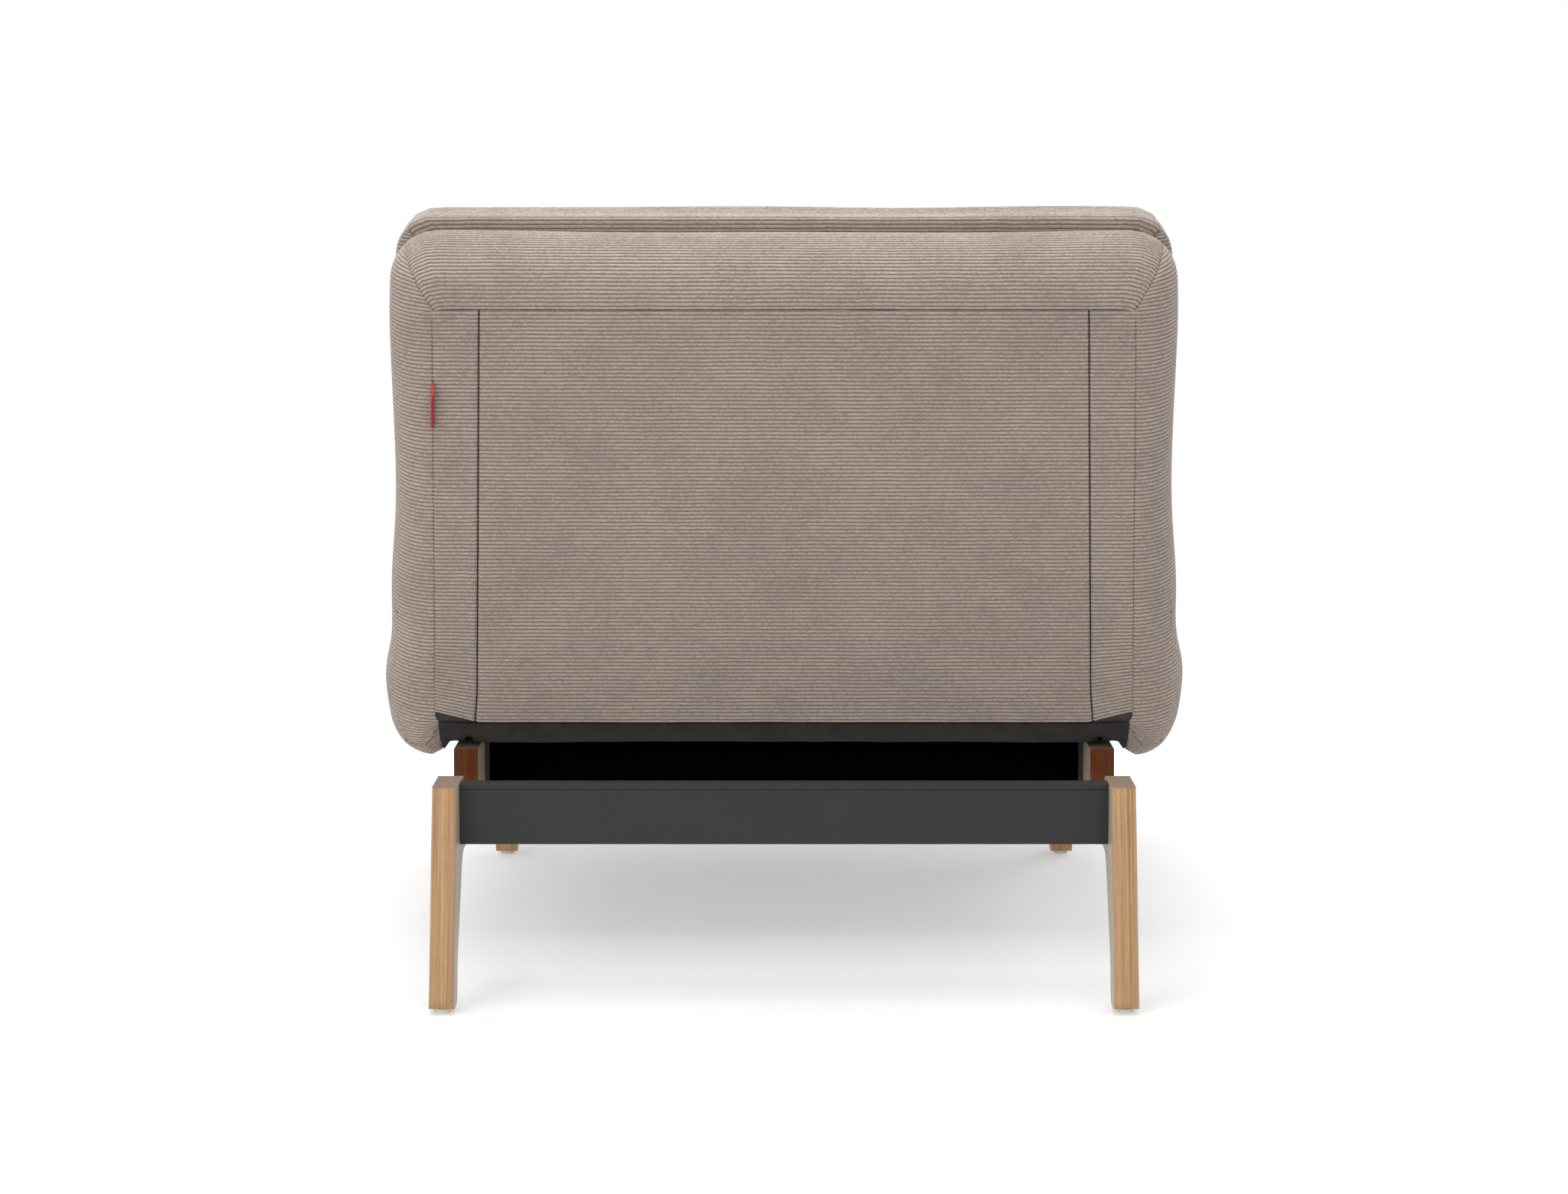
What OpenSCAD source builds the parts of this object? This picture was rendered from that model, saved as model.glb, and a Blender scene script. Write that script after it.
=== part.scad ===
// Convertible armchair: oak side frames, steel rails, a seat cushion, and a
// backrest that reclines on a pair of ratchet hinges until it lies flat.
// Millimetres. +Z is up, the sitter faces -Y, +X is the sitter's left.
// "u" is the distance forward from the rear feet's rear faces, so y = rear_y - u.
// On the backrest, "n" is the distance in front of the hinge axis, square to the
// rear panel, and "w" the distance above it, along the rear panel.

/* [Side frames] */
// Clear distance between the two oak side frames
frame_span = 716; // [640:1:800]
// Thickness of an oak side frame
frame_gauge = 28; // [24:0.5:36]
// Radius on the long edges of the oak
oak_round = 8.5; // [4:0.5:10]
// Height of the flat tops of the oak
frame_top_z = 240; // [225:1:270]
// Height of the underside of the beam
beam_under_z = 158; // [140:1:164]
// Height of the bottom of the saddle dip behind the riser
dip_z = 189; // [184:1:200]
// Distance to the riser's rear face
riser_u = 275; // [262:1:290]
// How far the rear leg's rear face leans forward from foot to top
rear_leg_lean = 53; // [35:1:70]
// Depth of the rear leg's flat top
rear_top_depth = 67; // [55:1:75]
// Depth of a foot
foot_depth = 37; // [32:1:42]
// Distance to the front foot's rear face
front_foot_u = 757; // [700:1:800]

/* [Glides] */
// Height of a floor glide
glide_h = 5; // [3:0.5:10]
// Radius of a floor glide
glide_r = 9.5; // [7:0.5:11]

/* [Steel rails] */
// Height of the rails and side plates
rail_h = 68; // [50:1:76]
// Depth of a rail's flanges
rail_depth = 18; // [14:0.5:24]
// Thickness of the folded steel of a rail
rail_sheet = 2.5; // [1.5:0.25:4]
// Distance to the rear rail's outer face
rear_rail_u = 78; // [70:1:84]
// Distance to the mid rail's rear face
mid_rail_u = 367; // [362:1:376]
// Thickness of a side plate
plate_gauge = 5; // [3:0.5:8]
// Distance to the rear end of a side plate
plate_rear_u = 354; // [320:1:360]

/* [Seat] */
// Distance to the front of the seat cushion
seat_front_u = 950; // [900:1:1000]
// Distance to the rear of the seat cushion at its bottom
seat_rear_u = 426; // [426:1:440]
// Height of the seat cushion's sewn edges
seat_h = 148; // [120:1:170]
// How far the seat cushion's top rises at its middle
seat_crown = 10; // [4:1:18]
// Width of a seat tube
seat_tube_w = 25; // [20:1:30]
// Height of a seat tube
seat_tube_h = 20; // [18:1:26]
// Number of slats in the seat
seat_slats_n = 5; // [3:1:6]
// Width of a slat
slat_w = 56; // [40:1:60]
// Thickness of a slat
slat_t = 8; // [6:0.5:10]

/* [Backrest] */
// How far the upholstery reaches out past each side frame's inner face
cushion_reach = 92; // [80:1:110]
// Swell of each side border near its bottom
back_swell = 14; // [0:1:20]
// Angle that the backrest leans back at rest
back_lean = 12; // [11:0.5:13]
// Height of the top of the rear panel above the hinge axis
panel_top = 479; // [470:1:500]
// Height of the rear border above the rear panel
border_top = 73; // [60:1:90]
// Width of the side border as it rounds forward
border_side = 47; // [30:1:60]
// Thickness of the backrest's casing
casing_t = 90; // [84:1:96]
// How far the front pad's top stands above the casing's
pad_rise = 10; // [4:1:20]
// Thickness of the front pad at its edges
pad_t = 75; // [66:1:76]
// How far the front pad rises at its middle
pad_crown = 10; // [4:1:12]
// Thickness of the cover cloth with its wadding
cover_t = 3; // [2:0.5:4]
// Height of the folded label tab
tab_h = 52; // [30:1:60]
// How far the label tab stands out of the seam
tab_out = 12; // [8:1:16]

/* [Hinges] */
// Distance to the hinge axis
pivot_u = 311.6; // [306:0.2:311.6]
// Height of the hinge axis
pivot_z = 301; // [301:0.5:306]
// Distance from the rear panel to the hinge axis
pivot_n = 55; // [54:0.5:55]
// Thickness of a hinge plate
hinge_gauge = 6; // [4:0.5:8]
// Radius of the ratchet wheel
wheel_r = 38; // [34:0.5:38]
// Depth of a ratchet notch
notch_depth = 8; // [5:0.5:10]
// Angle between two ratchet notches
notch_step = 39; // [30:1:39]
// Number of ratchet notches
notches_n = 3; // [2:1:3]
// Radius of a hinge pin
pin_r = 6; // [4:0.5:8]
// Radius of a pawl pin
pawl_pin_r = 4; // [3:0.5:5]
// Radius of a bolt's shank
bolt_r = 4; // [3:0.5:4.5]

/* [Hidden] */
$fn = 48;

// Clearances
soft_gap = 0.3;
plate_gap = 0.3;
run_gap = 0.05;
hole_gap = 0.2;

// Frame places. The rear foot's rounded heel is the rearmost point.
frame_x = frame_span / 2;
foot_round = oak_round + 1.5;
foot_bend_r = 80;
heel_angle = 90 - atan(rear_leg_lean / (frame_top_z - glide_h));
heel_u = foot_round / tan(heel_angle / 2) - foot_round;
rear_y = (seat_front_u + heel_u) / 2;
front_leg_lean = 17;
front_top_u = front_foot_u + foot_depth - front_leg_lean;
rail_z = frame_top_z - rail_h;
front_rail_u = front_foot_u - 12;
plate_front_u = front_foot_u + 18;
plate_x = frame_x - plate_gauge;
end_plate_t = 4;
rail_bolt_inset = 18;
bead_depth = 1.2;
bead_z = frame_top_z - 6;

// Fasteners
head_r = bolt_r * 1.6;
head_t = 4;
bolt_bite = 20;
bolt_grip = 12;
glide_pin_r = 2;
glide_pin_h = 12;

// Seat places
lining_t = 0.8;
seat_tube_x = frame_x + bolt_r * 2 - seat_tube_w;
seat_tube_rear_u = seat_rear_u + 4;
seat_tube_front_u = seat_front_u - 45;
seat_tube_top_z = frame_top_z + seat_tube_h;
seat_z = seat_tube_top_z + soft_gap;
seat_half = frame_x + cushion_reach;
holder_w = 14;
holder_wall = 2.5;
slat_camber = 3;

// Backrest places
back_half = seat_half;
casing_front = casing_t - pivot_n;
casing_full = casing_front - 15;
pad_rear = casing_front + soft_gap;
casing_top = panel_top + border_top;
pad_top = casing_top + pad_rise;
rear_sweep_r = 57.5;
front_sweep_r = 111;
bottom_slope = 0.15;
seam_taper = 11;
swell_w = 40;
swell_span = 68;
rear_crown = 2.5;
top_corner_r = 78;
low_corner_r = 60;
rear_top_r = 25;
rear_low_r = 10;
pad_low_r = 56;
pad_least_r = 20;
front_roll = 6;
back_tube_w = 25;
back_tube_d = 20;
back_tube_n = -12.5;
back_tube_low = 15;
back_tube_high = panel_top + 21;
cross_low_w = 150;
back_slats_n = 4;
back_slat_low = 190;
tab_t = 3.2;
tab_w = 367;

// Hinge places
bracket_x = seat_tube_x + seat_tube_w;
arm_x = bracket_x + hinge_gauge + plate_gap;
back_tube_x = arm_x + hinge_gauge;
pocket_r = 50;
neck_reach = 132;
pocket_top = 72;
arm_top = 140;
arm_half = 20;
pawl_n = 24;
pawl_w = 56;
pawl_boss_r = pawl_pin_r + 4.5;
pawl_tip_r = 2.5;
pawl_rest_gap = 0.4;
pawl_tip_angle = 93;
pin_head_t = 4;
bracket_u = [seat_tube_rear_u + 22, seat_tube_rear_u + 68];
arm_bolt_w = [95, 122];

// Small helpers
function unit(v) = v / norm(v);
function wrap(a) = a > 180 ? a - 360 : a < -180 ? a + 360 : a;
function bull(t) = 1 - sqrt(max(0, 1 - t * t));
function bell(t) = exp(-t * t);
function joined(lists) = [for (list = lists) for (item = list) item];

// An arc of the given radius in the corner at b, between a and c
function fillet(a, b, c, r, steps) =
  r == 0 ? [b] :
  let (
    back_dir = unit(a - b),
    next_dir = unit(c - b),
    half = acos(back_dir * next_dir) / 2,
    centre = b + unit(back_dir + next_dir) * r / sin(half),
    start = b + back_dir * r / tan(half) - centre,
    finish = b + next_dir * r / tan(half) - centre,
    start_angle = atan2(start.y, start.x),
    sweep = wrap(atan2(finish.y, finish.x) - start_angle)
  )
  [for (i = [0:steps]) centre + r * [
    cos(start_angle + sweep * i / steps), sin(start_angle + sweep * i / steps)
  ]];

// A polygon whose corners are [x, y, radius, arc steps]
function rounded(corners) =
  let (count = len(corners))
  joined([for (i = [0:count - 1])
    let (
      before = corners[(i + count - 1) % count],
      here = corners[i],
      after = corners[(i + 1) % count]
    )
    fillet([before.x, before.y], [here.x, here.y], [after.x, after.y], here[2], here[3])
  ]);

// Extrudes a (u, z) outline from x0 to x1
module slab(outline, x0, x1) {
  translate([x0, 0, 0]) rotate([90, 0, 90]) linear_extrude(x1 - x0)
    polygon([for (p = outline) [rear_y - p.x, p.y]]);
}

// A rod across the chair, at a place given in (u, z)
module rod(u, z, r, x0, x1) {
  translate([x0, rear_y - u, z]) rotate([0, 90, 0]) cylinder(h = x1 - x0, r = r);
}

// A box given by its ranges of x, u and z
module block(x0, x1, u0, u1, z0, z1) {
  translate([x0, rear_y - u1, z0]) cube([x1 - x0, u1 - u0, z1 - z0]);
}

// The same three, on the backrest, in (n, w)
module on_back() {
  translate([0, rear_y - pivot_u, pivot_z]) rotate([-back_lean, 0, 0]) children();
}
module back_slab(outline, x0, x1) {
  translate([x0, 0, 0]) rotate([90, 0, 90]) linear_extrude(x1 - x0)
    polygon([for (p = outline) [-p.x, p.y]]);
}
module back_rod(n, w, r, x0, x1) {
  translate([x0, -n, w]) rotate([0, 90, 0]) cylinder(h = x1 - x0, r = r);
}
module back_block(x0, x1, n0, n1, w0, w1) {
  translate([x0, -n1, w0]) cube([x1 - x0, n1 - n0, w1 - w0]);
}

module both_sides() {
  children();
  mirror([1, 0, 0]) children();
}

// Skins a stack of equal rings, with a point closing each end
module stacked(rings, low_tip, high_tip) {
  count = len(rings[0]);
  last = len(rings) - 1;
  low_index = count * len(rings);
  high_index = low_index + 1;
  points = concat(joined(rings), [low_tip, high_tip]);
  sides = [for (i = [0:last - 1]) for (j = [0:count - 1])
    let (
      a = i * count + j,
      b = i * count + (j + 1) % count,
      c = b + count,
      d = a + count
    )
    each [[a, d, c], [a, c, b]]
  ];
  low_cap = [for (j = [0:count - 1]) [low_index, j, (j + 1) % count]];
  high_cap = [for (j = [0:count - 1])
    [high_index, last * count + (j + 1) % count, last * count + j]
  ];
  polyhedron(points, concat(sides, low_cap, high_cap), convexity = 6);
}

// Cushion outlines
corner_steps = 5;
edge_steps = 5;
function corner(x, y, r, from) = [for (i = [0:corner_steps])
  [x + r * cos(from + 90 * i / corner_steps), y + r * sin(from + 90 * i / corner_steps)]
];
function between(a, b) = [for (i = [1:edge_steps]) a + (b - a) * i / (edge_steps + 1)];

// A rectangle with round corners whose edges are drawn in at their middles
function cushion_outline(half, low, high, r_low, r_high, draw) =
  let (
    top_right = corner(half - r_high, high - r_high, r_high, 0),
    top_left = corner(-half + r_high, high - r_high, r_high, 90),
    low_left = corner(-half + r_low, low + r_low, r_low, 180),
    low_right = corner(half - r_low, low + r_low, r_low, 270),
    outline = concat(
      top_right, between(top_right[corner_steps], top_left[0]),
      top_left, between(top_left[corner_steps], low_left[0]),
      low_left, between(low_left[corner_steps], low_right[0]),
      low_right, between(low_right[corner_steps], top_right[0])
    ),
    mid = (low + high) / 2,
    reach = (high - low) / 2
  )
  [for (p = outline)
    let (
      along_x = p.x / half,
      along_y = (p.y - mid) / reach,
      pull_x = draw * along_x * abs(along_x) ^ 5 * (1 - along_y ^ 2),
      pull_y = draw * along_y * abs(along_y) ^ 5 * (1 - along_x ^ 2)
    )
    [p.x - pull_x, p.y - pull_y]
  ];

// The side frame's outline, from the rear foot round by the front one
function frame_outline() =
  let (bend_z = glide_h + 47)
  rounded([
    [0, glide_h, foot_round, 5],
    [foot_depth, glide_h, foot_round, 5],
    [foot_depth + 9.5, bend_z, foot_bend_r, 4],
    [foot_depth + 67.5, beam_under_z, 26, 6],
    [front_foot_u - 45, beam_under_z, 26, 6],
    [front_foot_u - 10, bend_z, foot_bend_r, 4],
    [front_foot_u, glide_h, foot_round, 5],
    [front_foot_u + foot_depth, glide_h, foot_round, 5],
    [front_top_u, frame_top_z, 0, 0],
    [riser_u, frame_top_z, 0, 0],
    [riser_u - 3, dip_z - 1, 28, 8],
    [rear_leg_lean + rear_top_depth + 8, dip_z + 1, 30, 8],
    [rear_leg_lean + rear_top_depth, frame_top_z, 0, 0],
    [rear_leg_lean, frame_top_z, 0, 0]
  ]);

// A long bar, rounded on the two long edges that it turns towards the rear
module rounded_bar(length) {
  reach = seat_front_u;
  linear_extrude(length) union() {
    translate([frame_x, -reach]) square([frame_gauge, reach - oak_round]);
    translate([frame_x + oak_round, -reach]) square([frame_gauge - 2 * oak_round, reach]);
    for (x = [frame_x + oak_round, frame_x + frame_gauge - oak_round])
      translate([x, -oak_round]) circle(r = oak_round);
  }
}

module side_frame_blank() {
  leg_h = frame_top_z - glide_h;
  rear_angle = atan(rear_leg_lean / leg_h);
  front_angle = atan(front_leg_lean / leg_h);
  intersection() {
    slab(frame_outline(), frame_x, frame_x + frame_gauge);
    translate([0, rear_y, glide_h]) rotate([rear_angle, 0, 0])
      translate([0, 0, -leg_h]) rounded_bar(3 * leg_h);
    translate([0, rear_y - front_foot_u - foot_depth, glide_h]) rotate([-front_angle, 0, 0])
      mirror([0, 1, 0]) translate([0, 0, -leg_h]) rounded_bar(3 * leg_h);
  }
}

module side_frame() {
  color([0.76, 0.62, 0.45]) difference() {
    side_frame_blank();
    for (place = frame_bolt_places())
      rod(place.x, place.y, bolt_r + hole_gap, frame_x - 1, frame_x + bolt_bite + 1);
    for (u = glide_places())
      translate([frame_x + frame_gauge / 2, rear_y - u, glide_h - 1])
        cylinder(h = glide_pin_h + 2, r = glide_pin_r + hole_gap);
  }
}
module side_frame_left() {
  side_frame();
}
module side_frame_right() {
  mirror([1, 0, 0]) side_frame();
}

// Glides
function glide_places() = [foot_depth / 2, front_foot_u + foot_depth / 2];

module floor_glides() {
  color([0.86, 0.84, 0.78]) both_sides() for (u = glide_places())
    translate([frame_x + frame_gauge / 2, rear_y - u, 0]) rotate_extrude()
      polygon([
        [0, 0], [glide_r - 1.5, 0], [glide_r - 0.4, 0.5], [glide_r, 1.6], [glide_r - 0.6, glide_h],
        [glide_pin_r, glide_h], [glide_pin_r, glide_h + glide_pin_h], [0, glide_h + glide_pin_h]
      ]);
}

// Rails, folded from sheet with welded end plates
function rail_places(u) = [
  [u + rail_depth / 2, rail_z + rail_bolt_inset],
  [u + rail_depth / 2, frame_top_z - rail_bolt_inset]
];
function plate_bolt_u() = (mid_rail_u + rail_depth + front_rail_u) / 2;
function frame_bolt_places() = concat(
  rail_places(rear_rail_u), rail_places(mid_rail_u), rail_places(front_rail_u),
  [[plate_bolt_u(), rail_z + rail_h / 2]]
);

module rail(u, half, top_z) {
  inner_u = u + rail_sheet;
  bead_low = bead_z - 2 - (frame_top_z - top_z);
  channel = [
    [u, rail_z], [u + rail_depth, rail_z], [u + rail_depth, rail_z + rail_sheet],
    [inner_u, rail_z + rail_sheet], [inner_u, top_z - rail_sheet],
    [u + rail_depth, top_z - rail_sheet], [u + rail_depth, top_z], [u, top_z],
    [u, bead_low + 2], [u + bead_depth, bead_low + 1], [u, bead_low]
  ];
  color([0.2, 0.2, 0.2]) difference() {
    union() {
      slab(channel, -half, half);
      both_sides() block(half - end_plate_t, half, u + rail_sheet / 2, u + rail_depth,
        rail_z + rail_sheet / 2, top_z - rail_sheet / 2);
    }
    for (place = rail_places(u))
      rod(place.x, place.y, bolt_r + hole_gap, -half - 1, half + 1);
  }
}
module rear_rail() {
  rail(rear_rail_u, frame_x, frame_top_z);
}
module mid_rail() {
  rail(mid_rail_u, plate_x, frame_top_z);
}
module front_rail() {
  rail(front_rail_u, plate_x, frame_top_z - lining_t);
}

module side_plate() {
  color([0.2, 0.2, 0.2]) difference() {
    block(plate_x, frame_x, plate_rear_u, plate_front_u, rail_z, frame_top_z);
    for (place = frame_bolt_places())
      rod(place.x, place.y, bolt_r + hole_gap, plate_x - 1, frame_x + 1);
  }
}
module side_plate_left() {
  side_plate();
}
module side_plate_right() {
  mirror([1, 0, 0]) side_plate();
}

module frame_bolt(place, seat_x) {
  rod(place.x, place.y, bolt_r, seat_x, frame_x + bolt_bite);
  rod(place.x, place.y, head_r, seat_x - head_t, seat_x);
}
module frame_bolts() {
  color([0.35, 0.35, 0.36]) both_sides() {
    for (place = rail_places(rear_rail_u)) frame_bolt(place, frame_x - end_plate_t);
    for (place = rail_places(mid_rail_u)) frame_bolt(place, plate_x - end_plate_t);
    for (place = rail_places(front_rail_u)) frame_bolt(place, plate_x - end_plate_t);
    frame_bolt([plate_bolt_u(), rail_z + rail_h / 2], plate_x);
  }
}

// Seat frame
tube_wall = 2;

module seat_side_tubes() {
  mid_z = frame_top_z + seat_tube_h / 2;
  color([0.2, 0.2, 0.2]) both_sides() difference() {
    block(seat_tube_x, bracket_x, seat_tube_rear_u, seat_tube_front_u,
      frame_top_z, seat_tube_top_z);
    block(seat_tube_x + tube_wall, bracket_x - tube_wall, seat_tube_rear_u - 1,
      seat_tube_front_u + 1, frame_top_z + tube_wall, seat_tube_top_z - tube_wall);
    for (u = bracket_u) rod(u, mid_z, bolt_r + hole_gap, bracket_x - bolt_grip, bracket_x + 1);
  }
}

module seat_cross_tube(u) {
  difference() {
    block(-seat_tube_x, seat_tube_x, u, u + seat_tube_h, frame_top_z, seat_tube_top_z);
    block(-seat_tube_x - 1, seat_tube_x + 1, u + tube_wall, u + seat_tube_h - tube_wall,
      frame_top_z + tube_wall, seat_tube_top_z - tube_wall);
  }
}
module seat_cross_tubes() {
  color([0.2, 0.2, 0.2]) {
    seat_cross_tube(seat_tube_rear_u);
    seat_cross_tube(seat_tube_front_u - seat_tube_h);
  }
}

// Slats bow up a little between the holders that carry their ends
function slat_outline(half, base) = concat(
  [for (i = [0:12]) let (x = half * (1 - i / 6)) [x, base + slat_camber * (1 - (x / half) ^ 2)]],
  [for (i = [12:-1:0]) let (x = half * (1 - i / 6))
    [x, base + slat_t + slat_camber * (1 - (x / half) ^ 2)]]
);
function seat_slat_u(i) =
  let (
    first = seat_tube_rear_u + seat_tube_h + 6,
    last = seat_tube_front_u - seat_tube_h - slat_w - 6
  )
  first + (last - first) * i / (seat_slats_n - 1);
seat_slat_z = frame_top_z + (seat_tube_h - slat_t) / 2;
seat_slat_half = seat_tube_x - holder_wall;
back_slat_half = back_tube_x - holder_wall;

module seat_slats() {
  color([0.85, 0.74, 0.56]) for (i = [0:seat_slats_n - 1])
    translate([0, rear_y - seat_slat_u(i), 0]) rotate([90, 0, 0])
      linear_extrude(slat_w) polygon(slat_outline(seat_slat_half, seat_slat_z));
}

// A cap with a pocket for a slat's end, on the left of the chair
module slat_cap(tube_face, v0, base) {
  difference() {
    translate([tube_face - holder_w, -v0 - slat_w - holder_wall, base - holder_wall])
      cube([holder_w, slat_w + 2 * holder_wall, slat_t + 2 * holder_wall]);
    translate([tube_face - holder_w - 1, -v0 - slat_w - hole_gap, base - hole_gap])
      cube([holder_w - holder_wall + 1, slat_w + 2 * hole_gap, slat_t + 2 * hole_gap + 1]);
  }
}
module seat_slat_holders() {
  color([0.12, 0.12, 0.12]) both_sides() for (i = [0:seat_slats_n - 1])
    translate([0, rear_y, 0]) slat_cap(seat_tube_x, seat_slat_u(i), seat_slat_z);
}

module seat_lining() {
  color([0.09, 0.09, 0.09]) block(-plate_x + soft_gap, plate_x - soft_gap,
    seat_tube_rear_u, seat_tube_front_u, frame_top_z - lining_t, frame_top_z);
}

// Seat cushion
seat_slant = 0.09;
seat_draw = 5;
seat_edge = 14;
seat_front_r = 45;
seat_rear_r = 30;

// One level of the cushion: height, inset, draw
function seat_levels() = [
  [0, seat_edge, 0], [seat_edge * 0.25, seat_edge * 0.3, 0], [seat_edge * 0.8, 0, 0],
  [seat_h / 2, 0, seat_draw], [seat_h - seat_edge, 0, 0], [seat_h - seat_edge * 0.45, 3, 0],
  [seat_h - 2, seat_edge * 0.9, 0], [seat_h + seat_crown * 0.45, 60, 0],
  [seat_h + seat_crown * 0.85, 140, 0]
];
function seat_ring(level, wall) =
  let (
    full_h = seat_h + seat_crown,
    z = seat_z + wall + level[0] * (full_h - 2 * wall) / full_h,
    in = level[1] + wall,
    rear_u = seat_rear_u - max(0, z - pivot_z) * seat_slant + in,
    front_u = seat_front_u - in,
    outline = cushion_outline(seat_half - in, rear_y - front_u, rear_y - rear_u,
      max(12, seat_front_r - in * 0.2), max(12, seat_rear_r - in * 0.1), level[2])
  )
  [for (p = outline) [p.x, p.y, z]];
module seat_form(wall) {
  mid_y = rear_y - (seat_rear_u + seat_front_u) / 2;
  stacked([for (level = seat_levels()) seat_ring(level, wall)],
    [0, mid_y, seat_z + wall], [0, mid_y, seat_z + seat_h + seat_crown - wall]);
}
module seat_core() {
  color([0.9, 0.86, 0.7]) seat_form(cover_t + soft_gap);
}
module seat_cover() {
  color([0.64, 0.59, 0.55]) difference() {
    seat_form(0);
    seat_form(cover_t);
  }
}

// Backrest forms
function back_bottom(n) = n <= 0
  ? -sqrt(max(0, rear_sweep_r ^ 2 - n ^ 2))
  : max(-(rear_sweep_r + bottom_slope * n), -sqrt(max(0, front_sweep_r ^ 2 - n ^ 2)));
function swelled(outline, amount) = [for (p = outline)
  [p.x + sign(p.x) * back_swell * amount * bell((p.y - swell_w) / swell_span)
    * min(1, abs(p.x) / (back_half * 0.8)), p.y]
];
function tapered(outline, amount) = [for (p = outline)
  [p.x + sign(p.x) * seam_taper * amount * (0.5 - p.y / panel_top) * min(1, abs(p.x) / 200), p.y]
];

// The casing's sides and top round forward from the rear panel's seams
function casing_ring(n, wall) =
  let (
    place = n < casing_full
      ? (casing_full - n) / (casing_full + pivot_n)
      : 0,
    round = bull(place),
    front_in = front_roll * bull(max(0, (n - casing_full) / (casing_front - casing_full))),
    shrink = wall + front_in,
    outline = cushion_outline(back_half - border_side * round - shrink,
      back_bottom(n) + shrink, casing_top - border_top * round - shrink,
      top_corner_r + (rear_top_r - top_corner_r) * round,
      low_corner_r + (rear_low_r - low_corner_r) * round, 2 * (1 - round))
  )
  tapered(swelled(outline, 1 - round), round);
function casing_stations() = [
  -pivot_n, -pivot_n + 1.5, -pivot_n + 6, -pivot_n + 15, -pivot_n + 28, -10, 8,
  casing_full, casing_front - 5, casing_front
];
function thinned(n, wall) =
  wall - pivot_n + (n + pivot_n) * (casing_t - 2 * wall) / casing_t;
function at_n(outline, n) = [for (p = outline) [p.x, -n, p.y]];
function about(outline, scale, mid) = [for (p = outline)
  [p.x * scale, mid + (p.y - mid) * scale]
];
module casing_form(wall) {
  mid = panel_top / 2;
  rear = casing_ring(-pivot_n, wall);
  rings = concat(
    [at_n(about(rear, 0.7, mid), wall - pivot_n - rear_crown * 0.8)],
    [for (n = casing_stations()) at_n(casing_ring(n, wall), thinned(n, wall))]
  );
  stacked(rings, [0, pivot_n + rear_crown - wall, mid], [0, wall - casing_front, mid]);
}

// The front pad: distance from its rear face, inset, draw
function pad_levels() = [
  [0, 10, 0], [3, 3, 0], [9, 0, 0], [pad_t * 0.46, 0, 3], [pad_t - 18, 0, 0],
  [pad_t - 7, 5, 0], [pad_t - 1, 17, 0], [pad_t + pad_crown * 0.45, 60, 0],
  [pad_t + pad_crown * 0.85, 130, 0]
];
function pad_ring(level, wall) =
  let (
    full_t = pad_t + pad_crown,
    n = pad_rear + level[0],
    shrink = level[1] + wall,
    outline = cushion_outline(back_half - shrink, back_bottom(min(n, front_sweep_r - 2)) + shrink,
      pad_top - shrink, max(pad_least_r, top_corner_r - shrink * 0.3),
      max(pad_least_r, pad_low_r - shrink * 0.3), level[2])
  )
  at_n(swelled(outline, 1), pad_rear + wall + level[0] * (full_t - 2 * wall) / full_t);
module pad_form(wall) {
  mid = pad_top / 2;
  stacked([for (level = pad_levels()) pad_ring(level, wall)],
    [0, -pad_rear - wall, mid], [0, wall - pad_rear - pad_t - pad_crown, mid]);
}

// The room that a hinge's plates need inside the backrest
module hinge_room() {
  wheel_x0 = bracket_x - pin_head_t - 2;
  fan = [for (a = [12:-17:-141]) neck_reach * [cos(a), sin(a)]];
  both_sides() {
    back_slab(concat([[0, 0]], fan), bracket_x - 1.2, arm_x + soft_gap);
    back_rod(0, 0, pocket_r, wheel_x0, arm_x + soft_gap);
    back_rod(0, 0, arm_half + 8, arm_x, back_tube_x + pin_head_t + 1);
    back_block(wheel_x0, arm_x + soft_gap, -14, casing_front, 0, pocket_top);
    back_block(wheel_x0, back_tube_x + soft_gap, -arm_half - 2, arm_half + 2, 0, arm_top + 2);
    back_block(arm_x, back_tube_x + soft_gap, 0, pawl_n + 10, 12, pawl_w + 20);
  }
}

// The room that the backrest's frame needs inside the foam
module frame_room() {
  gap = soft_gap;
  both_sides() back_block(back_tube_x - gap, back_tube_x + back_tube_w + gap,
    back_tube_n - gap, back_tube_n + back_tube_d + gap, back_tube_low - gap, back_tube_high + gap);
  for (w = [cross_low_w, back_tube_high - back_tube_d])
    back_block(-back_tube_x, back_tube_x, back_tube_n - gap, back_tube_n + back_tube_d + gap,
      w - gap, w + back_tube_d + gap);
  for (i = [0:back_slats_n - 1])
    back_block(-back_tube_x, back_tube_x, back_slat_n - holder_wall - gap,
      back_slat_n + slat_t + slat_camber + holder_wall + gap,
      back_slat_w(i) - holder_wall - gap, back_slat_w(i) + slat_w + holder_wall + gap);
}

module back_core() {
  color([0.9, 0.86, 0.7]) on_back() difference() {
    casing_form(cover_t + soft_gap);
    hinge_room();
    frame_room();
  }
}
module back_casing() {
  color([0.64, 0.59, 0.55]) on_back() difference() {
    casing_form(0);
    casing_form(cover_t);
    hinge_room();
  }
}
module pad_core() {
  color([0.9, 0.86, 0.7]) on_back() difference() {
    pad_form(cover_t + soft_gap);
    hinge_room();
  }
}
module pad_cover() {
  color([0.64, 0.59, 0.55]) on_back() difference() {
    pad_form(0);
    pad_form(cover_t);
    hinge_room();
  }
}

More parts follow.
